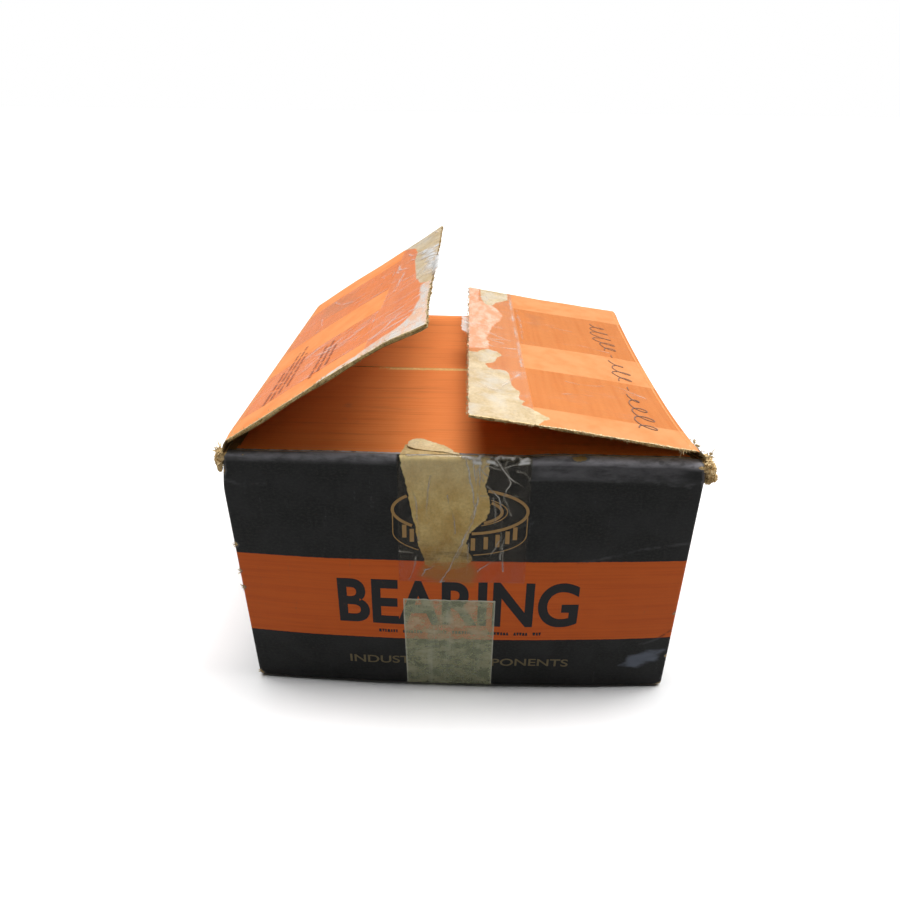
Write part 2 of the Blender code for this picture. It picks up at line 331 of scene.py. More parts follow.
def scuffed(paint, colour, scuff_colour, amount):
    """Fine rubbed marks in two directions over a print."""
    marks = paint.noise(paint.flat((220.0, 26.0)), 1.0, 6.0, 0.75)
    specks = paint.noise(paint.flat(), 420.0, 2.0, 0.6)
    rub = paint.times(paint.ramp(marks, 0.56, 0.80), paint.ramp(specks, 0.40, 0.70))
    return paint.mix(paint.times(rub, amount), colour, scuff_colour)


def wall_bands(paint, along_wall, height):
    """The share of the orange band, by place along the wall and height."""
    along = paint.ramp(along_wall, -HALF_WIDTH, HALF_WIDTH)
    height = paint.sum(height, paint.times(paint.noise(paint.flat(), 300.0, 2.0), 0.5 * MM))
    low_edge = paint.ramp(along, 0.0, 1.0, *BAND_LOW)
    high_edge = paint.ramp(along, 0.0, 1.0, *BAND_HIGH)
    over_low = paint.ramp(paint.math("SUBTRACT", height, low_edge), 0.0, 0.5 * MM)
    under_high = paint.ramp(paint.math("SUBTRACT", high_edge, height), 0.0, 0.5 * MM)
    return paint.times(over_low, under_high)


def wall_print(paint, band, taped):
    """Black and orange print, streaked and scuffed, deeper under tape."""
    mottle = paint.ramp(paint.noise(paint.flat(), 45.0, 5.0), 0.35, 0.7)
    black = paint.mix(mottle, BLACK, (0.027, 0.027, 0.028))
    speckle = paint.ramp(paint.noise(paint.flat((1.0, 1.6)), 520.0, 4.0, 0.75), 0.42, 0.66)
    black = paint.mix(paint.times(speckle, 0.7), black, (0.036, 0.038, 0.034))
    black = scuffed(paint, black, (0.14, 0.14, 0.15), 0.6)
    orange = scuffed(paint, streaked_ink(paint, WALL_ORANGE, WALL_ORANGE_DEEP, 14.0, 500.0),
                     (0.40, 0.15, 0.06), 0.5)
    under_tape = paint.mix(band, (0.006, 0.005, 0.005), (0.74, 0.090, 0.010))
    return paint.mix(paint.times(taped, 0.7), paint.mix(band, black, orange), under_tape)


def wall_wear_and_highlight(paint, colour, band):
    """Painted highlight along the top fold, smudges, crease lines, rubbed edges and bare kraft over the
    print.
    """
    # Painted highlight along the wall's top fold, pale grey in patches.
    crown_highlight = paint.ramp(paint.noise(paint.flat((60.0, 200.0)), 1.0, 5.0, 0.65), 0.3, 0.62, 0.35, 1.0)
    colour = paint.mix(paint.times(paint.field("crown_highlight"), crown_highlight), colour, (0.72, 0.70, 0.75))
    smudge = paint.ramp(paint.sum(paint.field("scuff"), paint.noise(paint.flat((90.0, 200.0)), 1.0, 5.0)),
                        1.0, 1.5)
    colour = paint.mix(paint.times(smudge, 0.85), colour, (0.19, 0.215, 0.27))
    line = paint.times(paint.field("crease"), paint.ramp(paint.noise(paint.flat(), 120.0, 3.0), 0.35, 0.6))
    colour = paint.mix(paint.times(line, 0.7), colour,
                       paint.mix(band, (0.10, 0.10, 0.105), (0.10, 0.03, 0.012)))
    fray = paint.sum(paint.field("wear"), paint.noise(paint.flat(), 260.0, 5.0, 0.7))
    rubbed = paint.ramp(fray, 0.95, 1.25)
    bare = paint.ramp(fray, 1.36, 1.42)
    colour = paint.mix(paint.times(rubbed, 0.6), colour, (0.19, 0.185, 0.19))
    return paint.mix(bare, colour, kraft_colour(paint, paint.flat()))


def wall_torn(paint, colour, height):
    """The patch where the liner is torn off: pale kraft above, darker and half covered below, and a stain."""
    ragged_edge = paint.times(paint.sum(paint.noise(paint.flat(), 330.0, 5.0, 0.65), -0.5), 3.0 * MM)
    torn = paint.ramp(paint.sum(paint.field("torn"), ragged_edge), -0.15 * MM, 0.3 * MM)
    ply = kraft_colour(paint, paint.flat(), (0.70, 0.44, 0.12), (0.98, 0.74, 0.29))
    low_down = paint.ramp(height, 92.0 * MM, 128.0 * MM, 1.0, 0.0)
    ply = paint.mix(paint.times(low_down, 0.75), ply, paint.mix(0.66, ply, (0.30, 0.18, 0.10), "MULTIPLY"))
    high_up = paint.ramp(height, 132.0 * MM, 162.0 * MM, 0.0, 0.6)
    ply = paint.mix(high_up, ply, paint.mix(0.5, ply, (1.0, 0.92, 0.62)))
    rubs = paint.ramp(paint.noise(paint.flat((60.0, 240.0)), 1.0, 6.0, 0.75), 0.42, 0.66)
    thin_ply = paint.times(paint.ramp(height, 94.0 * MM, 116.0 * MM, 0.75, 0.0), rubs)
    colour = paint.mix(paint.math("SUBTRACT", torn, paint.times(torn, thin_ply)), colour, ply)
    stain = paint.ramp(paint.sum(paint.field("stain"), ragged_edge), -4.0 * MM, 3.0 * MM)
    return paint.mix(paint.times(stain, 0.75), colour, (0.46, 0.20, 0.035))


def wall_paint():
    """The printed wall: bands by height, torn kraft patch, worn edges, and the shine of tape over it."""
    paint = Paint("printed_wall")
    split = paint.add("ShaderNodeSeparateXYZ", Vector=paint.field("flat", "Vector"))
    along_wall, height = split.outputs["X"], split.outputs["Y"]
    taped = paint.field("taped")
    band = wall_bands(paint, along_wall, height)
    colour = wall_wear_and_highlight(paint, wall_print(paint, band, taped), band)
    shine = paint.times(taped, paint.ramp(paint.noise(paint.flat(), 35.0, 4.0), 0.3, 0.7, 0.8, 1.0))
    paint.surface(wall_torn(paint, colour, height), paint.ramp(shine, 0.0, 1.0, 0.50, 0.13), 0.20)
    grain = paint.times(paper_grain(paint, paint.flat((0.3, 1.0))), paint.ramp(taped, 0.0, 1.0, 1.0, 0.35))
    waves = paint.times(paint.noise(paint.flat(), 110.0, 4.0, 0.6), paint.times(taped, 6.0))
    paint.bump(paint.sum(grain, waves), 0.08 * MM, 0.7)
    return paint.material


def torn_lid(paint, colour, where):
    """The kraft bared where the tongue was torn off the lid, with a ragged edge."""
    stray = paint.times(paint.sum(paint.noise(where, 400.0, 4.0), -0.5), 2.0 * MM)
    torn = paint.ramp(paint.sum(paint.field("torn"), stray), -0.1 * MM, 0.2 * MM)
    return paint.mix(torn, colour, kraft_colour(paint, where, (0.62, 0.43, 0.18), (0.85, 0.66, 0.34)))


def lid_paint():
    """The inner flaps: orange, with streaks along x."""
    paint = Paint("lid_orange")
    colour = streaked_ink(paint, LID_ORANGE, LID_ORANGE_DEEP, 9.0, 700.0)
    # Darker streaks along x.
    dark_streaks = paint.ramp(paint.noise(paint.flat((12.0, 160.0)), 1.0, 5.0, 0.6), 0.52, 0.80)
    colour = paint.mix(paint.times(dark_streaks, 0.45), colour, (0.34, 0.085, 0.03))
    smudge = paint.ramp(paint.noise(paint.flat(), 38.0, 4.0), 0.62, 0.78)
    colour = paint.mix(paint.times(smudge, 0.35), colour, (0.33, 0.17, 0.12))
    wear = paint.ramp(paint.sum(paint.field("wear"), paint.noise(paint.flat(), 300.0, 5.0)), 1.1, 1.25)
    colour = paint.mix(wear, colour, kraft_colour(paint, paint.flat(), (0.82, 0.47, 0.15), (1.0, 0.66, 0.27)))
    paint.surface(torn_lid(paint, colour, paint.flat()), 0.55, 0.3)
    paint.bump(paint.noise(paint.flat((30.0, 900.0)), 1.0, 3.0, 0.7), 0.08 * MM, 0.6)
    return paint.material


# The liner thinned by torn-off tape: its two shades on each flap
THINNED_LINER = {"left": ((0.80, 0.50, 0.34), (0.70, 0.66, 0.62)),
                 "right": ((0.84, 0.37, 0.20), (0.88, 0.57, 0.42))}


def flap_paint(side):
    """An outer flap: orange with deeper taped bands, torn liner along the free edge, smudges."""
    paint = Paint(f"{side}_flap_orange")
    where = paint.flat()
    ink, ink_deep, ink_faded = FLAP_INKS[side]
    deep = streaked_ink(paint, ink, ink_deep, 300.0, 12.0)
    faded = streaked_ink(paint, ink_faded, ink, 60.0, 60.0)
    faded = scuffed(paint, faded, (0.78, 0.48, 0.30), 0.5)
    taped = paint.ramp(paint.field("taped"), -0.6 * MM, 0.6 * MM)
    colour = paint.mix(taped, faded, deep)
    smudge = paint.ramp(paint.sum(paint.field("scuff"), paint.noise(where, 45.0, 5.0)), 1.0, 1.6)
    colour = paint.mix(paint.times(smudge, 0.40), colour, (0.36, 0.17, 0.10))
    stray = paint.times(paint.sum(paint.noise(where, 260.0, 5.0), -0.5), 4.0 * MM)
    thinned = paint.ramp(paint.sum(paint.field("thinned"), stray), -0.4 * MM, 1.2 * MM)
    fibres = paint.ramp(paint.noise(paint.flat((160.0, 60.0)), 1.0, 6.0, 0.7), 0.40, 0.62)
    colour = paint.mix(thinned, colour, paint.mix(fibres, *THINNED_LINER[side]))
    torn = paint.ramp(paint.sum(paint.field("torn"), stray), -0.2 * MM, 0.3 * MM)
    ply = kraft_colour(paint, where, (0.58, 0.43, 0.22), (0.80, 0.67, 0.45))
    grey = paint.ramp(paint.noise(where, 50.0, 5.0, 0.65), 0.45, 0.70)
    ply = paint.mix(paint.times(grey, 0.7), ply, (0.68, 0.65, 0.58))
    hairs = paint.ramp(paint.noise(paint.flat((900.0, 200.0)), 1.0, 5.0, 0.75), 0.58, 0.75)
    ply = paint.mix(paint.times(hairs, 0.45), ply, (0.36, 0.30, 0.22))
    colour = paint.mix(torn, colour, ply)
    edge = paint.ramp(paint.sum(paint.field("wear"), paint.noise(where, 420.0, 5.0, 0.7)), 1.22, 1.34)
    colour = paint.mix(edge, colour, kraft_colour(paint, where, (0.74, 0.56, 0.29), (1.0, 0.86, 0.56)))
    paint.surface(colour, paint.ramp(taped, 0.0, 1.0, 0.55, 0.36), 0.35)
    paint.bump(paint.sum(paper_grain(paint, where), paint.times(torn, -1.2)), 0.08 * MM, 0.6)
    return paint.material


def tape_paint(name, tint, clear, milky, streaks):
    """Packing tape: thin and clear, milky in streaks, white along its wrinkles and lifted tabs, partly their
    own milkiness and partly painted glare.
    """
    paint = Paint(name)
    crinkle_glare = paint.field("crinkle_glare")
    haze = paint.ramp(paint.noise(paint.flat(streaks), 1.0, 6.0, 0.7), 0.50, 0.78)
    fine = paint.ramp(paint.noise(paint.flat(), 500.0, 3.0, 0.6), 0.40, 0.70)
    veil = paint.times(haze, paint.sum(0.35, paint.times(fine, 0.65)))
    # Milky haze, and painted glare along the wrinkles and tabs.
    white = paint.math("MINIMUM", paint.sum(veil, paint.times(crinkle_glare, 1.2)), 1.0)
    paint.feed("Base Color", paint.mix(white, tint, (0.93, 0.93, 0.92)))
    cover = paint.sum(clear, paint.times(veil, milky), paint.times(crinkle_glare, 0.8))
    paint.feed("Alpha", paint.math("MINIMUM", cover, 0.95))
    paint.feed("Roughness", 0.22)
    paint.bump(paint.noise(paint.flat(), 130.0, 4.0, 0.6), 0.25 * MM, 0.6)
    return paint.material


def frosted_paint():
    """The narrower bottom tape: yellow-green, half see-through, with mottled adhesive under it."""
    paint = Paint("frosted_tape")
    where = paint.flat()
    patches = paint.ramp(paint.noise(paint.flat((1.0, 1.6)), 75.0, 6.0, 0.7), 0.38, 0.66)
    runs = paint.ramp(paint.noise(paint.flat((140.0, 9.0)), 1.0, 4.0, 0.6), 0.50, 0.75)
    rim = paint.ramp(paint.field("rim"), 0.0, 1.0)
    colour = paint.mix(patches, (0.72, 0.77, 0.46), (0.93, 0.90, 0.60))
    colour = paint.mix(paint.math("MAXIMUM", paint.times(runs, 0.5), rim), colour, (0.92, 0.91, 0.76))
    paint.feed("Base Color", colour)
    cover = paint.sum(0.24, paint.times(patches, 0.17), paint.times(runs, 0.12), paint.times(rim, 0.3))
    paint.feed("Alpha", cover)
    paint.feed("Roughness", 0.35)
    paint.bump(paint.noise(where, 150.0, 4.0, 0.6), 0.15 * MM, 0.6)
    return paint.material


def ink_paint(name, colour, worn_colour, worn):
    """Printed or written ink, thin and patchy."""
    paint = Paint(name)
    where = paint.body()
    patches = paint.ramp(paint.noise(where, 420.0, 5.0, 0.7), 0.58, 0.74)
    paint.surface(paint.mix(paint.times(patches, worn), colour, worn_colour), 0.5, 0.28)
    paint.bump(paper_grain(paint, where), 0.05 * MM, 0.5)
    return paint.material


def steel_paint(name, colour, rough, lines):
    """Ground steel with fine lines round its axis, and a film of oil in patches."""
    paint = Paint(name)
    where = paint.body()
    split = paint.add("ShaderNodeSeparateXYZ", Vector=where)
    stretched = paint.add("ShaderNodeCombineXYZ", Z=paint.times(split.outputs["Z"], lines)).outputs[0]
    grind = paint.noise(stretched, 1.0, 3.0, 0.7)
    oil = paint.ramp(paint.noise(where, 35.0, 4.0), 0.4, 0.65)
    paint.feed("Base Color", paint.mix(paint.times(oil, 0.3), colour, tuple(0.72 * c for c in colour)))
    paint.feed("Metallic", 1.0)
    paint.feed("Roughness", paint.sum(rough, paint.times(oil, 0.10), paint.times(grind, 0.08)))
    paint.bump(grind, 0.01 * MM, 0.4)
    return paint.material


# Geometry helpers

def jitter(a, b, scale, seed):
    """Smooth noise from -1 to 1 over flat coordinates, scale being its number of waves per metre."""
    a, b = np.broadcast_arrays(np.asarray(a, float), np.asarray(b, float))
    values = [noise.noise(Vector((x * scale, y * scale, seed))) for x, y in zip(a.ravel(), b.ravel())]
    return np.array(values).reshape(a.shape) * 1.6


def smooth(value, low, high):
    t = np.clip((np.asarray(value, float) - low) / (high - low), 0.0, 1.0)
    return t * t * (3.0 - 2.0 * t)


def inside(a, b, outline):
    """Signed distance to a closed outline, positive inside. The outline's points are in millimetres."""
    corners = np.array(outline, float) * MM
    points = np.stack([a.ravel(), b.ravel()], axis=1)
    nearest = np.full(len(points), 1e9)
    crossings = np.zeros(len(points), int)
    for start, end in zip(corners, np.roll(corners, -1, axis=0)):
        edge = end - start
        share = np.clip(((points - start) @ edge) / (edge @ edge), 0.0, 1.0)
        nearest = np.minimum(nearest, np.linalg.norm(points - start - share[:, None] * edge, axis=1))
        straddles = (start[1] > points[:, 1]) != (end[1] > points[:, 1])
        rise = edge[1] if abs(edge[1]) > 1e-12 else 1e-12
        crossings += straddles & (points[:, 0] < start[0] + (points[:, 1] - start[1]) * edge[0] / rise)
    return np.where(crossings % 2 == 1, nearest, -nearest).reshape(a.shape)


def near_line(a, b, line):
    """Distance to an open line. The line's points are in millimetres."""
    corners = np.array(line, float) * MM
    points = np.stack([a.ravel(), b.ravel()], axis=1)
    nearest = np.full(len(points), 1e9)
    for start, end in zip(corners[:-1], corners[1:]):
        edge = end - start
        share = np.clip(((points - start) @ edge) / (edge @ edge), 0.0, 1.0)
        nearest = np.minimum(nearest, np.linalg.norm(points - start - share[:, None] * edge, axis=1))
    return nearest.reshape(a.shape)


def crooked(line, stray, rng):
    """A line in millimetres cut into short pieces that stray from it, as a wrinkle does."""
    points = []
    for (a0, b0), (a1, b1) in zip(line[:-1], line[1:]):
        pieces = max(1, round(math.hypot(a1 - a0, b1 - b0) / 2.5))
        for k in range(pieces):
            a, b = a0 + (a1 - a0) * k / pieces, b0 + (b1 - b0) * k / pieces
            points.append((a + rng.gauss(0.0, stray), b + rng.gauss(0.0, stray)))
    return points + [line[-1]]


# Half width from which a wrinkle is drawn as a whole patch of painted glare on loosened tape, in millimetres
WIDE_GLARE = 0.8


def crinkles(a, b, lines, seed, finest):
    """Wrinkles in tape, 0 to 1, which the tape paints white, partly as painted glare: each line is its half
    width and then its points, in millimetres.

    A line narrower than the finest half width that the grid can hold is drawn at that width, but fainter."""
    rng = random.Random(seed)
    field = np.zeros_like(a)
    for half_width, *points in lines:
        drawn = max(half_width, finest)
        away = near_line(a, b, crooked(points, 0.8 * half_width, rng)) / (drawn * MM)
        patchy = np.clip(0.55 + 0.8 * jitter(a, b, 90.0, rng.uniform(0.0, 50.0)), 0.12, 1.0)
        fade = patchy if half_width < WIDE_GLARE else np.clip(0.8 + 0.8 * jitter(a, b, 260.0, 3.0), 0.0, 1.0)
        field = np.maximum(field, np.exp(-away ** 2) * fade * half_width / drawn)
    return field


def stray_wrinkles(span, count, heading, length, half_width, seed):
    """Fine random wrinkles inside a span, roughly along a heading in degrees. All in millimetres."""
    rng = random.Random(seed)
    lines = []
    for _ in range(count):
        a, b = rng.uniform(span[0], span[1]), rng.uniform(span[2], span[3])
        line = [(a, b)]
        turn = math.radians(heading + rng.gauss(0.0, 14.0))
        for _ in range(3):
            turn += rng.gauss(0.0, 0.22)
            step = length * rng.uniform(0.2, 0.45)
            a, b = a + step * math.cos(turn), b + step * math.sin(turn)
            line.append((min(max(a, span[0]), span[1]), min(max(b, span[2]), span[3])))
        lines.append((half_width * rng.uniform(0.7, 1.3), *line))
    return lines


def grid(a_values, b_values):
    return np.meshgrid(np.asarray(a_values, float), np.asarray(b_values, float), indexing="ij")


def steps(low, high, pitch):
    return np.linspace(low, high, max(2, int(round((high - low) / pitch)) + 1))


def mesh_of(name, bm):
    mesh = bpy.data.meshes.new(name)
    bm.to_mesh(mesh)
    bm.free()
    return mesh


def facing_out(name, vertices, faces):
    """A mesh from its vertices and faces, with every face turned to look outwards."""
    mesh = bpy.data.meshes.new(name)
    mesh.from_pydata(vertices, [], faces)
    bm = bmesh.new()
    bm.from_mesh(mesh)
    bmesh.ops.recalc_face_normals(bm, faces=bm.faces[:])
    bm.to_mesh(mesh)
    bm.free()
    return mesh


def add_field(mesh, name, values, kind="FLOAT", key="value"):
    mesh.attributes.new(name, kind, "POINT").data.foreach_set(key, values)


def new_object(name, mesh, smooth_shade=True):
    obj = bpy.data.objects.new(name, mesh)
    bpy.context.scene.collection.objects.link(obj)
    if smooth_shade:
        mesh.shade_smooth()
        mesh.set_sharp_from_angle(angle=math.radians(50))
    return obj


def make_sheet(name, a, b, place, thickness, fields, face_paint, back_paint=None, relief=0.0):
    """A closed sheet: grid a, b put in place at w = relief and w = -thickness, with a rim between."""
    rows, columns = a.shape
    top = np.stack(place(a, b, np.zeros_like(a) + relief), axis=-1).reshape(-1, 3)
    under = np.stack(place(a, b, np.full_like(a, -thickness)), axis=-1).reshape(-1, 3)
    count = rows * columns
    index = np.arange(count).reshape(rows, columns)
    quads = np.stack([index[:-1, :-1], index[1:, :-1], index[1:, 1:], index[:-1, 1:]], axis=-1).reshape(-1, 4)
    rim = np.concatenate([index[:, 0], index[-1, 1:], index[-2::-1, -1], index[0, -2:0:-1]])
    ahead = np.roll(rim, -1)
    walls = np.stack([rim, rim + count, ahead + count, ahead], axis=-1)
    faces = np.concatenate([quads, quads[:, ::-1] + count, walls])
    corner_a, corner_b = top[index[1, 0]] - top[index[0, 0]], top[index[0, 1]] - top[index[0, 0]]
    if np.dot(np.cross(corner_a, corner_b), top[0] - under[0]) < 0:
        faces = faces[:, ::-1]
    mesh = bpy.data.meshes.new(name)
    mesh.from_pydata(np.concatenate([top, under]).tolist(), [], faces.tolist())
    flat = np.stack([a, b, np.zeros_like(a)], axis=-1).reshape(-1, 3)
    add_field(mesh, "flat", np.tile(flat, (2, 1)).ravel(), "FLOAT_VECTOR", "vector")
    for field_name, values in fields.items():
        add_field(mesh, field_name, np.tile(np.broadcast_to(values, a.shape).ravel(), 2))
    mesh.materials.append(face_paint)
    mesh.materials.append(back_paint or face_paint)
    slots = np.ones(len(faces), int)
    slots[:len(quads)] = 0
    mesh.polygons.foreach_set("material_index", slots)
    mesh.update()
    return new_object(name, mesh)


# How thick printed and written ink is drawn
INK_THICKNESS = 0.05 * MM


def make_strokes(name, lines, width, place, lift, paint):
    """Ink strokes as thin ribbons: each line is a list of flat points in metres."""
    vertices, faces = [], []
    for line in lines:
        line = np.array(line, float)
        ahead = np.gradient(line, axis=0)
        ahead /= np.maximum(np.linalg.norm(ahead, axis=1), 1e-9)[:, None]
        across = np.stack([-ahead[:, 1], ahead[:, 0]], axis=1) * width / 2
        left, right = line + across, line - across
        first = len(vertices)
        for level in (lift, lift - INK_THICKNESS):
            for side in (left, right):
                placed = place(side[:, 0], side[:, 1], np.full(len(side), level))
                vertices.extend(np.stack(placed, axis=-1).tolist())
        n = len(line)
        tl, tr, ul, ur = (first + n * k for k in range(4))
        for i in range(n - 1):
            faces.append((tl + i, tr + i, tr + i + 1, tl + i + 1))
            faces.append((ul + i, ul + i + 1, ur + i + 1, ur + i))
            faces.append((tl + i, tl + i + 1, ul + i + 1, ul + i))
            faces.append((tr + i, ur + i, ur + i + 1, tr + i + 1))
        faces.append((tl, ul, ur, tr))
        faces.append((tl + n - 1, tr + n - 1, ur + n - 1, ul + n - 1))
    mesh = facing_out(name, vertices, faces)
    mesh.materials.append(paint)
    return new_object(name, mesh, smooth_shade=False)


def make_lettering(name, text, centre, width, height, place, lift, paint, bold):
    """Flat lettering, cut into small faces so that it follows the bowed wall."""
    curve = bpy.data.curves.new(name, "FONT")
    curve.body = text
    curve.align_x = "CENTER"
    curve.align_y = "CENTER"
    curve.offset = bold
    curve.extrude = 0.01
    holder = bpy.data.objects.new(name + "_curve", curve)
    bpy.context.scene.collection.objects.link(holder)
    bpy.context.view_layer.update()
    mesh = bpy.data.meshes.new_from_object(holder.evaluated_get(bpy.context.evaluated_depsgraph_get()))
    bpy.data.objects.remove(holder, do_unlink=True)
    corners = np.array([v.co for v in mesh.vertices])
    low, high = corners.min(axis=0), corners.max(axis=0)
    bm = bmesh.new()
    bm.from_mesh(mesh)
    bmesh.ops.remove_doubles(bm, verts=bm.verts[:], dist=1e-5)
    for axis in (0, 1):
        pieces = 36 if axis == 0 else 8
        normal = Vector((1.0, 0.0, 0.0)) if axis == 0 else Vector((0.0, 1.0, 0.0))
        for k in range(1, pieces):
            cut = normal * (low[axis] + (high[axis] - low[axis]) * k / pieces)
            bmesh.ops.bisect_plane(bm, geom=bm.verts[:] + bm.edges[:] + bm.faces[:], plane_co=cut,
                                   plane_no=normal)
    bm.to_mesh(mesh)
    bm.free()
    points = np.array([v.co for v in mesh.vertices])
    a = centre[0] + ((points[:, 0] - low[0]) / (high[0] - low[0]) - 0.5) * width
    b = centre[1] + ((points[:, 1] - low[1]) / (high[1] - low[1]) - 0.5) * height
    w = np.where(points[:, 2] > 0, lift, lift - INK_THICKNESS)
    placed = np.stack(place(a, b, w), axis=-1)
    mesh.vertices.foreach_set("co", placed.ravel())
    mesh.materials.clear()
    mesh.materials.append(paint)
    mesh.update()
    return new_object(name, mesh, smooth_shade=False)


def settle(obj, body, slot, *nodes):
    """The piece rides on a body and stands for the CAD nodes given. The slot is not used."""
    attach(obj, body)
    if nodes:
        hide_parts(*nodes)
    return obj


# Where flat sheets go

# How far each wall bellies out, where that is most, and how far it ripples
BELLY = {"front": 6.3 * MM, "back": 4.0 * MM, "left": 3.0 * MM, "right": 2.5 * MM}
BELLY_HEIGHT = 65 * MM
RIPPLE = 0.35 * MM
# The front wall's dent under the lid, and the ridge pressed below it
DENT = 2.0 * MM
RIDGE = 0.5 * MM
# How far the left wall's top leans out, the right wall stands out, and the right wall's top is pressed in
LEFT_LEAN = 3.8 * MM
RIGHT_SPREAD = 1.6 * MM
RIGHT_BOW = 7.3 * MM
# Where along y the right wall is pressed in most
BOW_MIDDLE = -65 * MM
# How far the right wall can be pressed in before it reaches the inner flaps
LID_CLEAR = 3.2 * MM


def right_bow(y):
    """How far the top of the right wall is pressed in along its length: most of all towards the front."""
    away = (y - BOW_MIDDLE) / np.where(y > BOW_MIDDLE, 0.193, 0.093)
    return RIGHT_BOW * np.clip(1.0 - away ** 2, 0.0, 1.0)


def lid_press(y):
    """How far the right wall presses in the edge of the inner flaps."""
    return np.maximum(right_bow(y) - LID_CLEAR, 0.0)


def carton_shape(x, y, z):
    """The bowed and dented shape of the filled carton: the walls' own planes are pushed out or in."""
    belly = np.exp(-((z - BELLY_HEIGHT) / np.where(z < BELLY_HEIGHT, 0.095, 0.062)) ** 2)
    across = np.clip(1.0 - np.abs(x / HALF_WIDTH) ** 2.4, 0.0, 1.0)
    along = np.clip(1.0 - np.abs(y / HALF_DEPTH) ** 2.4, 0.0, 1.0)
    outer_band = 20 * MM
    front = smooth(-y, HALF_DEPTH - outer_band, HALF_DEPTH - BOARD)
    back = smooth(y, HALF_DEPTH - outer_band, HALF_DEPTH - BOARD)
    left = smooth(-x, HALF_WIDTH - outer_band, HALF_WIDTH - BOARD)
    right = smooth(x, HALF_WIDTH - outer_band, HALF_WIDTH - BOARD)
    dent = smooth(z, 0.150, 0.1625) * smooth(x, 0.028, 0.050) * (1.0 - smooth(x, 0.112, 0.126))
    press = smooth(z, 0.149, 0.151) * (1.0 - smooth(z, 0.151, 0.156)) * smooth(x, 0.028, 0.060)
    ripple = RIPPLE * np.sin(x * 95.0 + z * 31.0) * np.sin(z * 88.0)
    y_push = -front * (BELLY["front"] * belly * across - DENT * dent + RIDGE * press + ripple * across)
    y_push = y_push + back * (BELLY["back"] * belly * across + ripple * across)
    top_bow = smooth(z, 0.085, 0.163) * smooth(HALF_DEPTH - np.abs(y), 0.0, 0.016)
    x_push = -left * along * (BELLY["left"] * belly + ripple)
    x_push = x_push + right * (along * (BELLY["right"] * belly + ripple) - right_bow(y) * top_bow)
    lean = LEFT_LEAN * np.clip(z / 0.155, 0.0, 1.0) * (1.0 - 0.8 * smooth(z, 0.136, 0.162))
    spread = RIGHT_SPREAD * (1.0 - 0.5 * smooth(z, 0.150, 0.162))
    x_push = x_push - lean * np.clip(-x / HALF_WIDTH, 0.0, 1.0) ** 3
    x_push = x_push + spread * np.clip(x / HALF_WIDTH, 0.0, 1.0) ** 3
    return x + x_push, y + y_push, z


def wall_place(turn):
    """Unfolded wall: a runs along it from corner to corner, b is the height, following the rounded edges."""
    straight = HALF_WIDTH - CORNER_RADIUS
    deeper = HALF_DEPTH - HALF_WIDTH
    cos_t, sin_t = math.cos(turn), math.sin(turn)

    def place(a, b, w):
        foot = np.clip((FOOT_CENTRE - b) / CREASE_RADIUS, 0.0, FOOT_ARC)
        head = np.clip((b - (LID_TOP - CREASE_RADIUS)) / CREASE_RADIUS, 0.0, math.pi / 2)
        inward = CREASE_RADIUS * (2.0 - np.cos(foot) - np.cos(head))
        middle = np.clip(b, FOOT_CENTRE, LID_TOP - CREASE_RADIUS)
        z = middle - CREASE_RADIUS * np.sin(foot) + CREASE_RADIUS * np.sin(head)
        z = z + w * (np.sin(head) - np.sin(foot))
        out = -inward + w * np.cos(head) * np.cos(foot)
        theta = np.clip((np.abs(a) - straight) / CORNER_RADIUS, 0.0, math.pi / 4)
        reach = CORNER_RADIUS + out
        x = np.sign(a) * (np.minimum(np.abs(a), straight) + reach * np.sin(theta))
        y = -(straight + reach * np.cos(theta))
        placed_y = sin_t * x + cos_t * y
        placed_y = placed_y * (1.0 + deeper / HALF_WIDTH)
        return carton_shape(cos_t * x - sin_t * y, placed_y, z)

    return place


# How far each flap's cut edges are crushed
FLAP_CRUSH = {"left": 0.50, "right": 0.70}


def flap_place(side):
    """An outer flap: a runs from the crease to the free edge, b along the crease, w off its outer face."""
    joint = JOINTS[f"{side}_flap_hinge"]
    pivot = Vector(joint["pos_m"])
    opened = -math.radians(joint["range_deg"][0])
    inward = -OUTWARD[side]
    ahead = Vector((inward * math.cos(opened), 0.0, math.sin(opened)))
    up = Vector((-inward * math.sin(opened), 0.0, math.cos(opened)))
    corners = [v.co - pivot for v in frame["nodes"][f"{side}_flap"].data.vertices]
    face = max(c.dot(up) for c in corners)
    held = -0.25 * BOARD

    def place(a, b, w):
        if side == "left":
            curl = smooth(a, 0.100, 0.128) * smooth(-b, 0.088, 0.129)
            bend = 0.5 * MM * np.sin(a * 38.0 + b * 9.0) * smooth(a, 0.0, 0.03) - 2.5 * MM * curl
            slip = 0.0
        else:
            bend = 0.5 * MM * np.sin(a * 30.0 + 1.0 + b * 14.0) * smooth(a, 0.0, 0.03)
            slip = right_bow(b) * np.exp(-a / 0.035)
        edge = np.maximum(smooth(np.abs(b), HALF_DEPTH - 9 * MM, HALF_DEPTH), smooth(a, 0.119, 0.127))
        crush = edge * (FLAP_CRUSH[side] + 0.10 * np.sin(a * 140.0 + b * 90.0))
        off = face + held + (w - held) * (1.0 - crush) + bend
        a = a + slip
        x = pivot.x + a * ahead.x + off * up.x
        z = pivot.z + a * ahead.z + off * up.z
        return x, b + 0.0 * x, z

    place.pivot = pivot
    place.ahead = ahead
    place.length = max(c.dot(ahead) for c in corners)
    return place


def lid_place(side):
    """An inner flap, lying flat: a is x, b is y, w off its top face."""

    def place(a, b, w):
        slit = 1.0 - smooth(np.abs(b), 0.0, 0.045)
        lift = 0.6 * MM * slit * (1.0 - smooth(a, -0.080, -0.035)) if side == "back" else 0.0
        lift = lift + 0.25 * MM * np.sin(a * 50.0 + OUTWARD[side]) * np.sin(b * 70.0)
        x = a - smooth(a, 0.085, 0.122) * lid_press(b)
        y = b + 0.0 * a
        return x, y, LID_TOP + w + lift

    return place


# Corrugated board

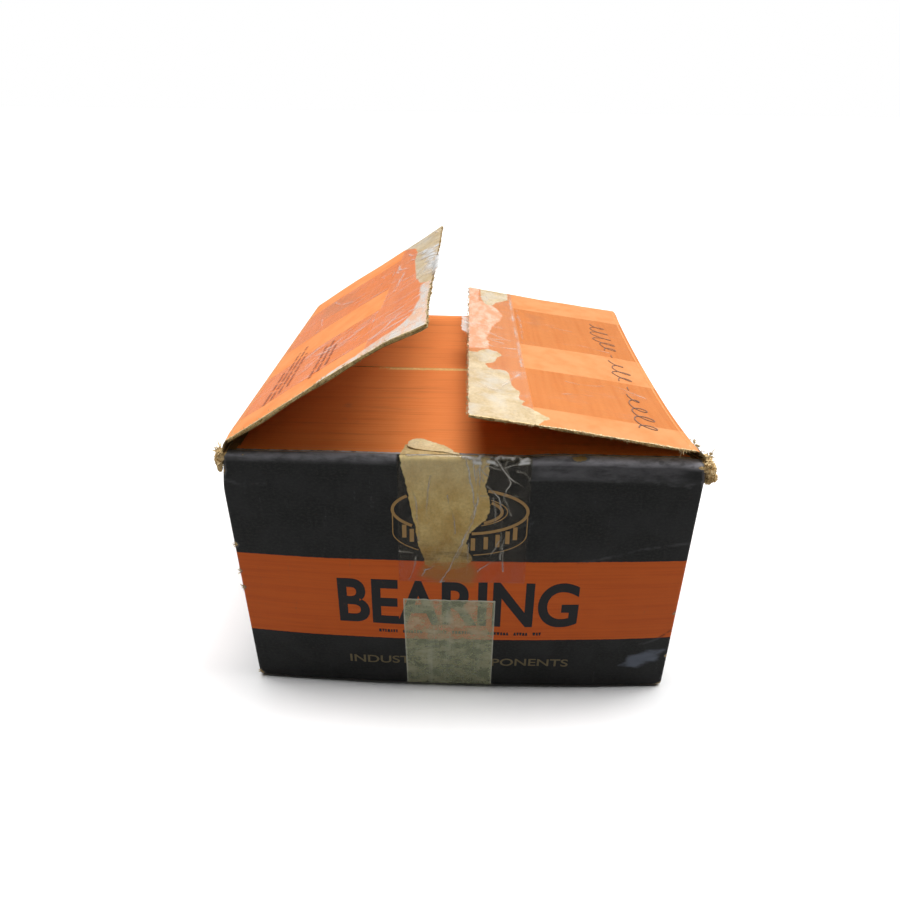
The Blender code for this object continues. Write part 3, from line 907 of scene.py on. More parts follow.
def board_grid(span, pitch, fray, seed):
    """A grid whose edges wander as a rough cut does: fray is how far at low a, at high a, and at both b."""
    a_low, a_high, b_low, b_high = span
    a, b = grid(steps(0.0, 1.0, pitch / (a_high - a_low)), steps(0.0, 1.0, pitch / (b_high - b_low)))
    line_a = a_low + (a_high - a_low) * a
    line_b = b_low + (b_high - b_low) * b
    push_a = smooth(a, 0.93, 1.0) * fray[1] - smooth(1.0 - a, 0.93, 1.0) * fray[0]
    push_b = (smooth(b, 0.96, 1.0) - smooth(1.0 - b, 0.96, 1.0)) * fray[2]
    wave_a = jitter(0.0 * line_b, line_b, 160.0, seed) + 0.6 * jitter(0.0 * line_b, line_b, 620.0, seed + 1)
    wave_b = jitter(line_a, 0.0 * line_a, 160.0, seed + 2)
    wave_b = wave_b + 0.6 * jitter(line_a, 0.0 * line_a, 620.0, seed + 4)
    return line_a + push_a * MM * (wave_a - 0.6), line_b + push_b * MM * (wave_b - 0.6)


def make_board(name, place, span, flutes_along_a, paint, fields, seed, fray):
    """Corrugated board in layers: printed outer liner, fluted medium, plain inner liner, crushed cuts."""
    a_low, a_high, b_low, b_high = span
    a, b = board_grid(span, FLAP_PITCH, fray, seed)
    values = fields(a, b)
    sunk = -0.22 * MM * smooth(values["torn"], -0.5 * MM, 0.8 * MM)
    outer = make_sheet(f"{name}_outer_liner", a, b, place, LINER, values, paint, EDGE_PAINT, relief=sunk)
    settle(outer, name, "orange_board", name)
    a, b = board_grid(span, PLAIN_PITCH, fray, seed + 11)

    def place_inner(a, b, w):
        return place(a, b, w - BOARD + LINER)

    inner = make_sheet(f"{name}_inner_liner", a, b, place_inner, LINER, {}, KRAFT_PAINT)
    settle(inner, name, "kraft_board")
    height = (BOARD - 2 * LINER - MEDIUM) / 2 - CREST_GAP

    def place_medium(a, b, w):
        across, other = (b, a) if flutes_along_a else (a, b)
        drift = 2.2 * np.sin(other * 61.0) * smooth(np.abs(across), 0.10, 0.127) + 0.8 * np.sin(other * 170.0)
        swing = np.sin(2.0 * math.pi * across / FLUTE + drift)
        return place(a, b, w - LINER - CREST_GAP - height * (1.0 - swing))

    fine, coarse = FLUTE / 9.0, 5.0 * MM
    a_pitch, b_pitch = (coarse, fine) if flutes_along_a else (fine, coarse)
    inset = 0.5 * MM
    a, b = grid(steps(a_low + inset, a_high - inset, a_pitch), steps(b_low + inset, b_high - inset, b_pitch))
    medium = make_sheet(f"{name}_medium", a, b, place_medium, MEDIUM, {}, EDGE_PAINT)
    settle(medium, name, "kraft_board")
    if flutes_along_a:
        for side in (-1.0, 1.0):
            make_cut_edge(name, place, span, side, seed)


def make_cut_edge(name, place, span, side, seed):
    """The crushed side of the last flute, seen along a cut that runs with the flutes."""
    a_low, a_high, b_low, b_high = span
    edge = b_low if side < 0 else b_high
    a, t = grid(steps(a_low + 0.5 * MM, a_high - 0.5 * MM, 1.2 * MM), np.linspace(0.0, 1.0, 8))
    dents = 0.5 + 0.5 * jitter(a, 2.0 * MM * t, 240.0, seed + side)
    dents = dents + 0.35 * jitter(a, 4.0 * MM * t, 700.0, seed)
    depth = (0.5 + 1.1 * np.sin(math.pi * t) * dents) * MM

    def place_edge(a, t, w):
        level = -0.4 * LINER - (BOARD - 0.8 * LINER) * t
        return place(a, edge - side * (depth - w), level)

    label = "front" if side < 0 else "back"
    strip = make_sheet(f"{name}_{label}_cut", a, t, place_edge, 0.4 * MM, {}, CUT_PAINT)
    settle(strip, name, "kraft_board")


# Carton walls

WALL_STRAIGHT = HALF_WIDTH - CORNER_RADIUS
WALL_HALF = WALL_STRAIGHT + CORNER_RADIUS * math.pi / 4
UNROLLED_TOP = LID_TOP - CREASE_RADIUS + CREASE_RADIUS * math.pi / 2
UNROLLED_FOOT = FOOT_CENTRE - CREASE_RADIUS * FOOT_ARC
TORN_FRONT = [(-34, 170), (-33, 157), (-31, 150), (-29.5, 140), (-28, 130), (-25.5, 118), (-24, 108),
              (-21, 100), (-20, 95), (-15, 93), (-8, 92.5), (2, 94), (7, 99), (4.5, 104), (3, 110),
              (4.5, 116), (8, 120), (13, 125), (15.5, 131), (14.5, 139), (12, 146), (14, 152), (14.5, 170)]
STAIN_FRONT = [(-21, 95), (-23, 88), (-14, 85), (6, 83), (9, 90), (6, 97)]
SCUFF_FRONT = [(98, 19), (108, 16), (121, 21), (126, 33), (112, 31), (103, 27)]
CREASES_FRONT = [[(66, 98), (80, 101), (92, 104), (101, 107), (112, 109), (127, 111)],
                 [(84, 157), (98, 153), (104, 149), (113, 148), (121, 149)],
                 [(101, 157), (109, 152), (120, 147)], [(36, 150), (60, 151.5), (84, 150)],
                 [(-127, 146), (-118, 143), (-104, 144)], [(108, 36), (118, 40), (126, 47)]]
CHIPS_FRONT = [(59.5, 161.5, 2.8), (63.5, 161.8, 3.0), (104, 160.5, 1.8), (115, 160, 1.8), (120, 159, 2.0),
               (-126, 103, 2.6), (-127, 84, 2.2), (-126.5, 72, 2.0), (-116, 161, 1.4), (126, 60, 1.5),
               (126.5, 26, 2.0), (-126, 3, 3.0), (126, 2, 3.0)]


def across_wall(side, low, high):
    """How far a box reaches along the front or the back wall, in that wall's own a."""
    return (low.x, high.x) if side == "front" else (-high.x, -low.x)


def wall_fields(a, b, side):
    """Where a wall is worn, torn, scuffed, creased and taped, and where a highlight is painted along its top
    fold.
    """
    corner = smooth(np.abs(a), WALL_HALF - 4.0 * MM, WALL_HALF)
    head = smooth(b, LID_TOP - 4.0 * MM, LID_TOP + 0.5 * MM)
    foot = smooth(-b, -4.5 * MM, -1.0 * MM)
    chips = 0.5 + 0.5 * jitter(a * 0.0, b, 70.0, WALL_SEEDS[side])
    wear = 0.60 * corner * np.clip(0.30 + chips, 0.0, 1.2) + 0.42 * head + 0.45 * foot
    wear = wear + 0.45 * corner * np.maximum(head, smooth(b, 0.144, 0.162))
    # A faint painted highlight along the top fold of every wall.
    crown_highlight = smooth(b, UNROLLED_TOP - 8.0 * MM, UNROLLED_TOP - 3.0 * MM)
    fields = {"wear": wear, "torn": -1.0 + 0.0 * a, "stain": -1.0 + 0.0 * a, "scuff": 0.0 * a,
              "crease": 0.0 * a, "taped": 0.0 * a, "crown_highlight": 0.22 * crown_highlight}
    if side in ("front", "back"):
        low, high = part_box(f"{side}_seal_tape")
        left, right = (edge / MM for edge in across_wall(side, low, high))
        taped = inside(a, b, [(left, low.z / MM), (right, low.z / MM), (right, 175), (left, 175)])
        fields["taped"] = smooth(taped, -0.4 * MM, 0.4 * MM)
        fields["crown_highlight"] = fields["crown_highlight"] * (1.0 - fields["taped"])
        fields["wear"] = wear * (1.0 - 0.8 * fields["taped"])
    if side == "front":
        fields["torn"] = inside(a, b, TORN_FRONT)
        fields["stain"] = inside(a, b, STAIN_FRONT)
        fields["scuff"] = smooth(inside(a, b, SCUFF_FRONT), -6.0 * MM, 5.0 * MM)
        folds = np.minimum.reduce([near_line(a, b, line) for line in CREASES_FRONT])
        fields["crease"] = 1.0 - smooth(folds, 0.0, 1.3 * MM)
        # On the front: painted sheen on the band where the dented top leans back, and the painted highlight
        # along the fold, fainter at the left and left off under the tape.
        lean = smooth(b, 0.1490, 0.1530) * smooth(a, 0.030, 0.045) * (1.0 - smooth(a, 0.110, 0.122))
        crown_highlight = np.maximum(crown_highlight * (0.35 + 0.65 * smooth(a, 0.02, 0.07)), 0.17 * lean)
        fields["crown_highlight"] = crown_highlight * (1.0 - fields["taped"])
        for x, z, size in CHIPS_FRONT:
            away = np.hypot(a - x * MM, 1.6 * (b - z * MM)) / (size * MM)
            fields["wear"] = fields["wear"] + 0.85 * np.exp(-away ** 2)
    return fields


# Height from which the inside of the walls is free of the bottom boards
INNER_LINER_FOOT = 8.6 * MM
WALL_TURNS = {"front": 0.0, "right": math.pi / 2, "back": math.pi, "left": -math.pi / 2}
WALL_SEEDS = {"front": 3.0, "right": 4.0, "back": 5.0, "left": 6.0}


def make_walls():
    for side, turn in WALL_TURNS.items():
        place = wall_place(turn)
        folded = side in ("front", "back")
        top = UNROLLED_TOP if folded else LID_TOP - 0.2 * MM
        bend = np.linspace(WALL_STRAIGHT, WALL_HALF, 4)[1:]
        across = np.concatenate([-bend[::-1], steps(-WALL_STRAIGHT, WALL_STRAIGHT, WALL_PITCH[0]), bend])
        a, b = grid(across, steps(UNROLLED_FOOT, top, WALL_PITCH[1]))
        fields = wall_fields(a, b, side)
        sunk = -0.2 * MM * smooth(fields["torn"], -0.4 * MM, 0.8 * MM)
        outer = make_sheet(f"{side}_wall_outer_liner", a, b, place, LINER, fields, WALL_PAINT, EDGE_PAINT,
                           relief=sunk)
        settle(outer, "carton", "printed_front" if side == "front" else "orange_board", f"{side}_wall")
        inside_half = HALF_WIDTH - BOARD
        a, b = grid(steps(-inside_half, inside_half, INSIDE_PITCH),
                    steps(INNER_LINER_FOOT, LID_TOP - BOARD, INSIDE_PITCH))

        def place_inner(a, b, w, turn=turn):
            y = -(HALF_DEPTH - BOARD + LINER) - w
            x, y = math.cos(turn) * a - math.sin(turn) * y, math.sin(turn) * a + math.cos(turn) * y
            return carton_shape(x, y, b)

        inner = make_sheet(f"{side}_wall_inner_liner", a, b, place_inner, LINER, {}, KRAFT_PAINT)
        settle(inner, "carton", "kraft_board")


# The ledge beside the lid: how far it lies below the lid's top, how far its inner edge sags, and how far it
# ends short of the front and the back
LEDGE_DROP = 1.6 * MM
LEDGE_SAG = 1.2 * MM
LEDGE_END = 4.5 * MM


def make_wall_ledge(side):
    """The folded board along a side wall's top, between the wall's face and the edge of the inner flaps."""
    sign = OUTWARD[side]
    lid_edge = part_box("front_inner_flap")[1].x + 0.3 * MM
    height = LID_TOP - LEDGE_DROP
    half = HALF_DEPTH - LEDGE_END
    t, y = grid(np.linspace(0.0, 1.0, 5), steps(-half, half, PLAIN_PITCH))

    def place(t, y, w):
        inner = sign * lid_edge + 0.0 * y
        if side == "right":
            inner = inner - lid_press(y)
        outer, _, _ = carton_shape(np.full_like(y, sign * (HALF_WIDTH - LINER)), y, np.full_like(y, height))
        x = inner + (outer - inner) * t
        return x, y, height - LEDGE_SAG * (1.0 - t) ** 2 + w

    ledge = make_sheet(f"{side}_wall_ledge", t, y, place, LINER, {}, KRAFT_PAINT)
    settle(ledge, "carton", "kraft_board")


# Creases between walls and flaps

# An outer crease: how far below the lid's top it leaves the wall, how far up the flap it ends, and how far
# its curve runs straight on from the wall and from the flap
CREASE_DROP = 2.5 * MM
CREASE_REACH = 5.0 * MM
CREASE_RISE = 6.5 * MM
CREASE_BACK = 4.5 * MM


def make_outer_crease(side, place):
    """The folded liner from the side wall's top to the outer flap, built fixed where the flap stands."""
    sign = OUTWARD[side]
    t, b = grid(np.linspace(0.0, 1.0, 15), steps(-HALF_DEPTH + 1.0 * MM, HALF_DEPTH - 1.0 * MM, 2.5 * MM))
    wall_z = LID_TOP - CREASE_DROP

    def place_crease(t, b, w):
        x0, _, _ = carton_shape(np.full_like(b, sign * HALF_WIDTH), b, np.full_like(b, wall_z))
        x3, _, z3 = place(np.full_like(b, CREASE_REACH), b, np.full_like(b, 0.10 * MM))
        ahead = place.ahead
        start = np.stack([x0 + sign * 0.15 * MM, np.full_like(b, wall_z)], axis=-1)
        end = np.stack([x3, z3], axis=-1)
        rise = start + np.array([0.0, CREASE_RISE])
        back = end - np.array([ahead.x, ahead.z]) * CREASE_BACK
        t1 = t[..., None]
        curve = ((1 - t1) ** 3 * start + 3 * (1 - t1) ** 2 * t1 * rise + 3 * (1 - t1) * t1 ** 2 * back
                 + t1 ** 3 * end)
        slope = (3 * (1 - t1) ** 2 * (rise - start) + 6 * (1 - t1) * t1 * (back - rise)
                 + 3 * t1 ** 2 * (end - back))
        slope = slope / np.linalg.norm(slope, axis=-1, keepdims=True)
        out = np.stack([sign * slope[..., 1], -sign * slope[..., 0]], axis=-1)
        curve = curve + out * w[..., None]
        return curve[..., 0], b, curve[..., 1]

    strip = make_sheet(f"{side}_crease", t, b, place_crease, LINER, {}, CREASE_PAINT, KRAFT_PAINT)
    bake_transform(strip)


# How far in from the carton's front or back the lid's board starts and the lid's crease ends
LID_EDGE = 6.6 * MM
INNER_CREASE_END = 7.5 * MM
# Where the liner tongue was torn off the lid
TORN_LID = [(-34, -130), (-33, -124), (-31.5, -115), (-29, -112), (-20, -112), (-10, -119), (-2, -125),
            (-1, -130)]


def make_inner_crease(side):
    """The folded liner from the front or back wall's top to the inner flap, built fixed where the flap lies.
    """
    sign = OUTWARD[side]
    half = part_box(f"{side}_inner_flap")[1].x
    a, t = grid(steps(-half, half, 2.0 * MM), np.linspace(0.0, 1.0, 12))
    start_y, end_y = sign * (HALF_DEPTH - CREASE_RADIUS + 0.4 * MM), sign * (HALF_DEPTH - INNER_CREASE_END)

    def place_crease(a, t, w):
        y = start_y + (end_y - start_y) * t
        hump = 0.12 * MM + 0.25 * MM * np.sin(math.pi * t)
        x, y, _ = carton_shape(a, y, np.full_like(a, LID_TOP))
        return x, y, LID_TOP + hump + w

    torn = -1.0 + 0.0 * a
    if side == "front":
        torn = inside(a, sign * (HALF_DEPTH - INNER_CREASE_END * t), TORN_LID)
    fields = {"wear": 0.9 - 0.9 * smooth(t, 0.05, 0.5), "orange": t, "torn": torn}
    strip = make_sheet(f"{side}_inner_crease", a, t, place_crease, LINER / 2, fields, INNER_CREASE_PAINT,
                       KRAFT_PAINT)
    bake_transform(strip)


def crease_paint():
    """The fold between a side wall and its outer flap: black below, the flap's orange above."""
    paint = Paint("worn_crease")
    where = paint.body()
    share = paint.add("ShaderNodeSeparateXYZ", Vector=paint.field("flat", "Vector")).outputs["X"]
    share = paint.sum(share, paint.times(paint.sum(paint.noise(where, 150.0, 4.0), -0.5), 0.15))
    colour = paint.mix(paint.ramp(share, 0.60, 0.68), (0.035, 0.033, 0.034), (0.80, 0.31, 0.105))
    worn = paint.times(paint.ramp(paint.noise(where, 400.0, 5.0, 0.7), 0.50, 0.64),
                       paint.ramp(share, 0.2, 0.6))
    colour = paint.mix(paint.times(worn, 0.6), colour, (0.66, 0.46, 0.25))
    paint.surface(colour, 0.6, 0.3)
    paint.bump(paper_grain(paint, where), 0.1 * MM, 0.8)
    return paint.material


def inner_crease_paint():
    paint = Paint("worn_highlit_inner_crease")
    where = paint.body()
    share = paint.sum(paint.field("orange"), paint.times(paint.noise(where, 300.0, 4.0), 0.25), -0.12)
    # Painted highlight on the fold's black print, grey in patches.
    grey = paint.mix(paint.ramp(paint.noise(where, 180.0, 4.0), 0.35, 0.6), (0.10, 0.095, 0.10),
                     (0.50, 0.48, 0.50))
    ink = paint.mix(paint.ramp(share, 0.22, 0.30), grey, LID_ORANGE)
    rubbed = paint.ramp(paint.sum(paint.field("wear"), paint.noise(where, 280.0, 5.0, 0.7)), 1.05, 1.35)
    colour = paint.mix(paint.times(rubbed, 0.6), ink, (0.36, 0.34, 0.33))
    paint.surface(torn_lid(paint, colour, where), 0.5, 0.3)
    paint.bump(paper_grain(paint, where), 0.1 * MM, 0.6)
    return paint.material


# Flaps

CROSS_BANDS = ((-106, -47), (-1, 84))
RIGHT_TORN = [[(92, -130), (88, -124), (82, -118), (88, -112), (91, -108), (97, -105), (95, -100), (98, -95),
               (96, -88), (99, -84), (101, -75), (101, -60), (104, -55), (112, -57), (116, -50), (109, -44),
               (108, -36), (104, -30), (107, -24), (114, -22), (121, -30), (132, -28), (132, -130)],
              [(93, 132), (94, 105), (98, 98), (104, 92), (108, 80), (113, 82), (116, 95), (117, 132)]]
RIGHT_THINNED = [[(113, -22), (112, -8), (113, 2), (109, 25), (104, 40), (101, 50), (100, 60), (103, 72),
                  (110, 86), (118, 90), (132, 90), (132, -24)],
                 [(118, 88), (117, 132), (132, 132), (132, 88)]]
LEFT_TORN = [[(88, 132), (92, 118), (98, 108), (103, 95), (106, 78), (106, 58), (107, 40), (109, 20),
              (112, -8), (114, -24), (118, -42), (124, -50), (132, -48), (132, 132)]]
LEFT_THINNED = [[(118, -48), (120, -80), (117, -102), (109, -113), (88, -120), (62, -124), (58, -132),
                 (132, -132), (132, -48)]]
RIGHT_SMUDGE = [(58, 78), (84, 80), (86, 42), (70, 36)]
LEFT_SMUDGE = [(10, 90), (60, 84), (64, 20), (20, 30)]


def flap_fields(side):
    torn_shapes = LEFT_TORN if side == "left" else RIGHT_TORN
    thin_shapes = LEFT_THINNED if side == "left" else RIGHT_THINNED
    smudge = LEFT_SMUDGE if side == "left" else RIGHT_SMUDGE

    def fields(a, b):
        bands = [inside(a, b, [(-9, low), (92, low), (92, high), (-9, high)]) for low, high in CROSS_BANDS]
        seam = inside(a, b, [(91, -140), (140, -140), (140, 140), (91, 140)])
        edge = np.maximum(smooth(np.abs(b), HALF_DEPTH - 3.8 * MM, HALF_DEPTH - 0.6 * MM),
                          smooth(a, 0.1235, 0.1265))
        return {"taped": np.maximum.reduce([*bands, seam]),
                "torn": np.maximum.reduce([inside(a, b, shape) for shape in torn_shapes]),
                "thinned": np.maximum.reduce([inside(a, b, shape) for shape in thin_shapes]),
                "scuff": 0.8 * smooth(inside(a, b, smudge), -12.0 * MM, 12.0 * MM),
                "wear": 0.92 * edge}

    return fields


def make_tape(name, body, place, outline, lift, paint, node, lines, seed, pitch=1.0 * MM, tabs=()):
    """A strip of tape on a sheet's surface, with raised wrinkles and tabs that stick out past its edge."""
    a_low, a_high, b_low, b_high = outline
    a, b = grid(steps(a_low, a_high, pitch), steps(b_low, b_high, pitch))
    ridge = crinkles(a, b, lines, seed, 0.65 * pitch / MM)
    tab_lift = 0.0 * a
    for low, high, length in tabs:
        share = smooth(b, low, low + 3 * MM) * (1.0 - smooth(b, high - 3 * MM, high))
        share = share * (0.85 + 0.15 * jitter(0.0 * a, b, 260.0, seed))
        a = a + length * share * smooth(a, a_high - 8 * MM, a_high)
        tab_lift = tab_lift + share * smooth(a, a_high - 1.5 * MM, a_high + 0.4 * length)
    waves = 0.10 * MM * (1.0 + jitter(a, b, 90.0, seed))

    def place_tape(a, b, w):
        return place(a, b, lift + waves + 0.35 * MM * ridge + 5.0 * MM * tab_lift + w)

    # Wrinkles and lifted tabs, which the tape paints white, partly as painted glare.
    fields = {"crinkle_glare": np.clip(ridge + 0.6 * tab_lift, 0.0, 1.0)}
    tape = make_sheet(name, a, b, place_tape, TAPE, fields, paint)
    settle(tape, body, "clear_tape", node)


# Wrinkles in the tapes on the outer flaps; the wide ones on the left seam tape are patches of painted glare.
SEAM_WRINKLES = {
    "left": [(3.0, (119, 52), (121, 30), (123, 8)), (3.2, (123, 8), (126, -8), (127, -30)),
             (2.2, (113, 60), (119, 48)), (0.4, (92, 58), (100, 20), (97, -20)),
             (0.3, (96, 95), (102, 70), (112, 62)), *stray_wrinkles((92, 124, -122, 10), 12, 8, 26, 0.3, 31),
             *stray_wrinkles((92, 124, 10, 120), 5, 100, 30, 0.3, 32)],
    "right": [(0.25, (92, 122), (92.5, 60), (91.8, 0), (92.4, -46)), (0.3, (94, 3), (108, 0), (122, 1)),
              (0.3, (94, -14), (108, -16), (116, -12)), (0.25, (95, -60), (110, -90), (122, -84)),
              *stray_wrinkles((94, 124, -20, 45), 6, 20, 18, 0.22, 33),
              *stray_wrinkles((96, 124, 60, 120), 4, 90, 20, 0.25, 34)],
}
CROSS_WRINKLES = {
    "left": {"front": stray_wrinkles((28, 89, -106, -50), 22, 8, 40, 0.35, 41),
             "back": [(0.35, (30, 78), (42, 50), (58, 30)), (0.3, (26, 40), (32, 14), (30, 2)),
                      *stray_wrinkles((24, 89, 2, 82), 8, -20, 26, 0.3, 42)]},
    "right": {"front": stray_wrinkles((12, 89, -104, -50), 3, 10, 26, 0.22, 43),
              "back": [(0.25, (88, 80), (87, 30), (89, 2)),
                       *stray_wrinkles((20, 89, 0, 82), 3, 10, 24, 0.22, 44)]},
}
# Tabs of loose seam tape past each flap's free edge: where each starts and ends along b, and its length
SEAM_TABS = {"left": (-41 * MM, -1 * MM, 5.5 * MM), "right": (5 * MM, 42 * MM, 5.5 * MM)}


def make_flaps():
    for side, seed in (("left", 21.0), ("right", 38.0)):
        place = flap_place(side)
        body = f"{side}_flap"
        length = place.length
        span = (1.5 * MM, length - 0.2 * MM, -HALF_DEPTH, HALF_DEPTH)
        make_board(body, place, span, True, FLAP_PAINTS[side], flap_fields(side), seed, fray=(0.0, 0.9, 0.45))
        make_outer_crease(side, place)
        make_wall_ledge(side)
        make_tape(f"{side}_seam_tape_strip", body, place, (90.5 * MM, length, -0.125, 0.125), 0.1 * MM,
                  SEAM_TAPE_PAINTS[side], f"{side}_seam_tape", SEAM_WRINKLES[side], seed + 1,
                  tabs=[SEAM_TABS[side]])
        for label, (low, high) in zip(("front", "back"), CROSS_BANDS):
            make_tape(f"{side}_cross_tape_{label}_strip", body, place,
                      (3 * MM, 90 * MM, low * MM, high * MM), 0.05 * MM, CROSS_TAPE_PAINTS[side],
                      f"{side}_cross_tape_{label}", CROSS_WRINKLES[side][label], seed + 2)


def make_lid():
    for number, side in enumerate(("front", "back")):
        node = f"{side}_inner_flap"
        low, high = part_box(node)
        place = lid_place(side)
        back_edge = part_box("back_inner_flap")[0].y
        b_low, b_high = ((-HALF_DEPTH + LID_EDGE, back_edge - 0.1 * MM) if side == "front"
                         else (back_edge, HALF_DEPTH - LID_EDGE))

        def fields(a, b, side=side):
            slit = 1.0 - smooth(np.abs(b), 2.4 * MM, 6.0 * MM)
            torn = inside(a, b, TORN_LID) if side == "front" else -1.0 + 0.0 * a
            wear = 0.95 * smooth(a, -0.075, -0.045) if side == "front" else 0.1
            return {"wear": wear * slit, "torn": torn}

        make_board(node, place, (low.x, high.x, b_low, b_high), False, LID_PAINT, fields, 61.0 + 13 * number,
                   fray=(0.3, 0.3, 0.06))
        make_inner_crease(side)


# How far in from the walls' faces the two outer and the two inner bottom flaps end
BOTTOM_INSETS = {"outer": 2.2 * MM, "inner": 0.3 * MM}


def make_bottom():
    """Plain kraft boards under the bearing, with the seam and the inner flaps above it."""
    for name in ("bottom_left_flap", "bottom_right_flap", "bottom_front_flap", "bottom_back_flap"):
        low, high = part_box(name)
        inset = BOTTOM_INSETS["outer" if name in ("bottom_left_flap", "bottom_right_flap") else "inner"]
        span = (max(low.x, -HALF_WIDTH + inset), min(high.x, HALF_WIDTH - inset),
                max(low.y, -HALF_DEPTH + inset), min(high.y, HALF_DEPTH - inset))
        a, b = board_grid(span, INSIDE_PITCH, (0.3, 0.3, 0.3), 91.0)

        def place(a, b, w, top=high.z):
            return carton_shape(a, b, top + w)

        board = make_sheet(f"{name}_board", a, b, place, high.z - low.z - 0.05 * MM, {}, KRAFT_PAINT)
        settle(board, "carton", "kraft_board", name)


# Tape, print and torn paper on the carton

# Wrinkles in the front seal tape; the wide ones along the top fold, and the thin line at its left, are
# patches of painted glare.
FRONT_WRINKLES = [(0.32, (1, 164), (3.5, 152), (6, 141), (6.5, 131), (4, 120), (0, 109), (-5, 97), (-9, 88)),
                  (0.26, (4.5, 163), (7, 150), (8.5, 138), (6.8, 128), (3, 114), (-2, 101)),
                  (0.24, (8.5, 164), (9.5, 150), (8.5, 138), (5.5, 126)),
                  (0.3, (-9, 88), (-12, 84), (-9, 85)), (0.22, (22, 158), (26, 148), (22, 140), (27, 128)),
                  (0.22, (17, 163), (24, 152), (32, 146)), (0.2, (13, 146), (20, 139), (22, 126), (22, 100)),
                  (0.2, (26, 122), (23, 108), (24, 92)), (0.24, (-38, 103.5), (-33, 104), (-27, 103)),
                  (0.2, (30, 160), (20, 156), (12, 158)), (0.2, (-12, 100), (-16, 94), (-20, 92), (-22, 88)),
                  (1.0, (0, 163.4), (8, 162.2), (15, 163.0)), (1.1, (4, 161.5), (9, 159.5)),
                  (1.0, (17, 163.5), (27, 162.6)), (1.1, (26, 162.8), (35, 161.6)),
                  (0.9, (12, 160.5), (18, 158.8)), (0.8, (30, 160.8), (35, 160.2)),
                  (0.25, (-30, 163.2), (-14, 163.4), (-3, 163.0)),
                  *stray_wrinkles((6, 36, 140, 163), 10, 110, 9, 0.2, 51),
                  *stray_wrinkles((-30, 4, 85, 160), 6, 95, 20, 0.18, 52),
                  *stray_wrinkles((6, 30, 90, 140), 5, 80, 16, 0.18, 53)]


def make_wall_tape():
    for side in ("front", "back"):
        low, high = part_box(f"{side}_seal_tape")
        a_low, a_high = across_wall(side, low, high)
        make_tape(f"{side}_seal_tape_strip", "carton", wall_place(WALL_TURNS[side]),
                  (a_low, a_high, low.z, UNROLLED_TOP), 0.05 * MM, SEAL_TAPE_PAINT, f"{side}_seal_tape",
                  FRONT_WRINKLES if side == "front" else FRONT_WRINKLES[:3], 5, pitch=0.5 * MM)
    low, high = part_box("bottom_tape")
    for side in ("front", "back"):
        a_low, a_high = across_wall(side, low, high)
        place = wall_place(WALL_TURNS[side])
        a, b = grid(steps(a_low, a_high, 0.8 * MM), steps(UNROLLED_FOOT, high.z, 0.8 * MM))
        middle, half = (a_low + a_high) / 2, (a_high - a_low) / 2
        rim = np.maximum(smooth(np.abs(a - middle), half - 1.2 * MM, half),
                         smooth(b, high.z - 1.3 * MM, high.z))
        a = a - 0.9 * MM * smooth(b, 0.0, high.z) * smooth(-a, 0.0, 0.03)
        b = b + 0.3 * MM * jitter(a, 0.0 * a, 260.0, 8.0) * smooth(b, high.z - 3 * MM, high.z)
        waves = 0.15 * MM * (1.0 + jitter(a, b, 70.0, 9.0))

        def place_tape(a, b, w, place=place, waves=waves):
            return place(a, b, w + 0.22 * MM + waves)

        strip = make_sheet(f"bottom_tape_{side}", a, b, place_tape, TAPE, {"rim": rim}, FROSTED_PAINT)
        settle(strip, "carton", "frosted_tape", *(("bottom_tape",) if side == "front" else ()))
    a, b = grid(steps(low.x, high.x, 4.0 * MM), steps(-HALF_DEPTH + 2 * MM, HALF_DEPTH - 2 * MM, 4.0 * MM))

    def place_under(a, b, w):
        return carton_shape(a, b, 0.02 * MM - w)

    strip = make_sheet("bottom_tape_under", a, b, place_under, TAPE, {"rim": 0.0 * a}, FROSTED_PAINT)
    settle(strip, "carton", "frosted_tape")


def arc(centre, radius_a, radius_b, start, end, count):
    turn = np.radians(np.linspace(start, end, count))
    return [(centre[0] + radius_a * math.cos(t), centre[1] + radius_b * math.sin(t)) for t in turn]


def outside(lines, outline):
    """The parts of lines that lie outside an outline, which is in millimetres."""
    kept = []
    for line in lines:
        fine = [line[0]]
        for start, end in zip(line[:-1], line[1:]):
            pieces = max(1, round(math.dist(start, end) / (0.8 * MM)))
            fine += [(start[0] + (end[0] - start[0]) * k / pieces,
                      start[1] + (end[1] - start[1]) * k / pieces) for k in range(1, pieces + 1)]
        points = np.array(fine)
        clear = inside(points[:, 0], points[:, 1], outline) < -0.6 * MM
        run = []
        for point, free in zip(fine, clear):
            if free:
                run.append(point)
            if (not free or point is fine[-1]) and len(run) > 2:
                kept.append(run)
            if not free:
                run = []
    return kept


def print_rows(rows, along, letter, gap, seed):
    """Small print too small to read: rows of letter-sized bars, in words. Rows are level, start and end."""
    rng = random.Random(seed)
    bars = []
    for level, start, end in rows:
        at = start
        left_in_word = rng.randint(5, 10)
        while at < end:
            size = letter * rng.uniform(0.7, 1.25)
            ends = [(at, level), (at + size / 2, level + rng.uniform(-0.15, 0.15)), (at + size, level)]
            bars.append([(x * MM, z * MM) if along == "a" else (z * MM, x * MM) for x, z in ends])
            at += size + gap
            left_in_word -= 1
            if left_in_word == 0:
                at += 2.2 * letter
                left_in_word = rng.randint(4, 11)
    return bars


# How far print on the front stands off, and ink on the outer flaps over their tape
PRINT_LIFT = 0.07 * MM
FLAP_INK_LIFT = 0.35 * MM
# The pictogram, a ring seen at a slant: its face's centre, its foot's centre, its half width and half height
RING_CENTRE = (-1 * MM, 130 * MM)
RING_FOOT = (-1 * MM, 116 * MM)
RING_WIDE, RING_TALL = 37 * MM, 14 * MM


def front_strokes(name, lines, width, ink):
    strokes = make_strokes(name, lines, width, wall_place(0.0), PRINT_LIFT, ink)
    settle(strokes, "carton", "printed_front")


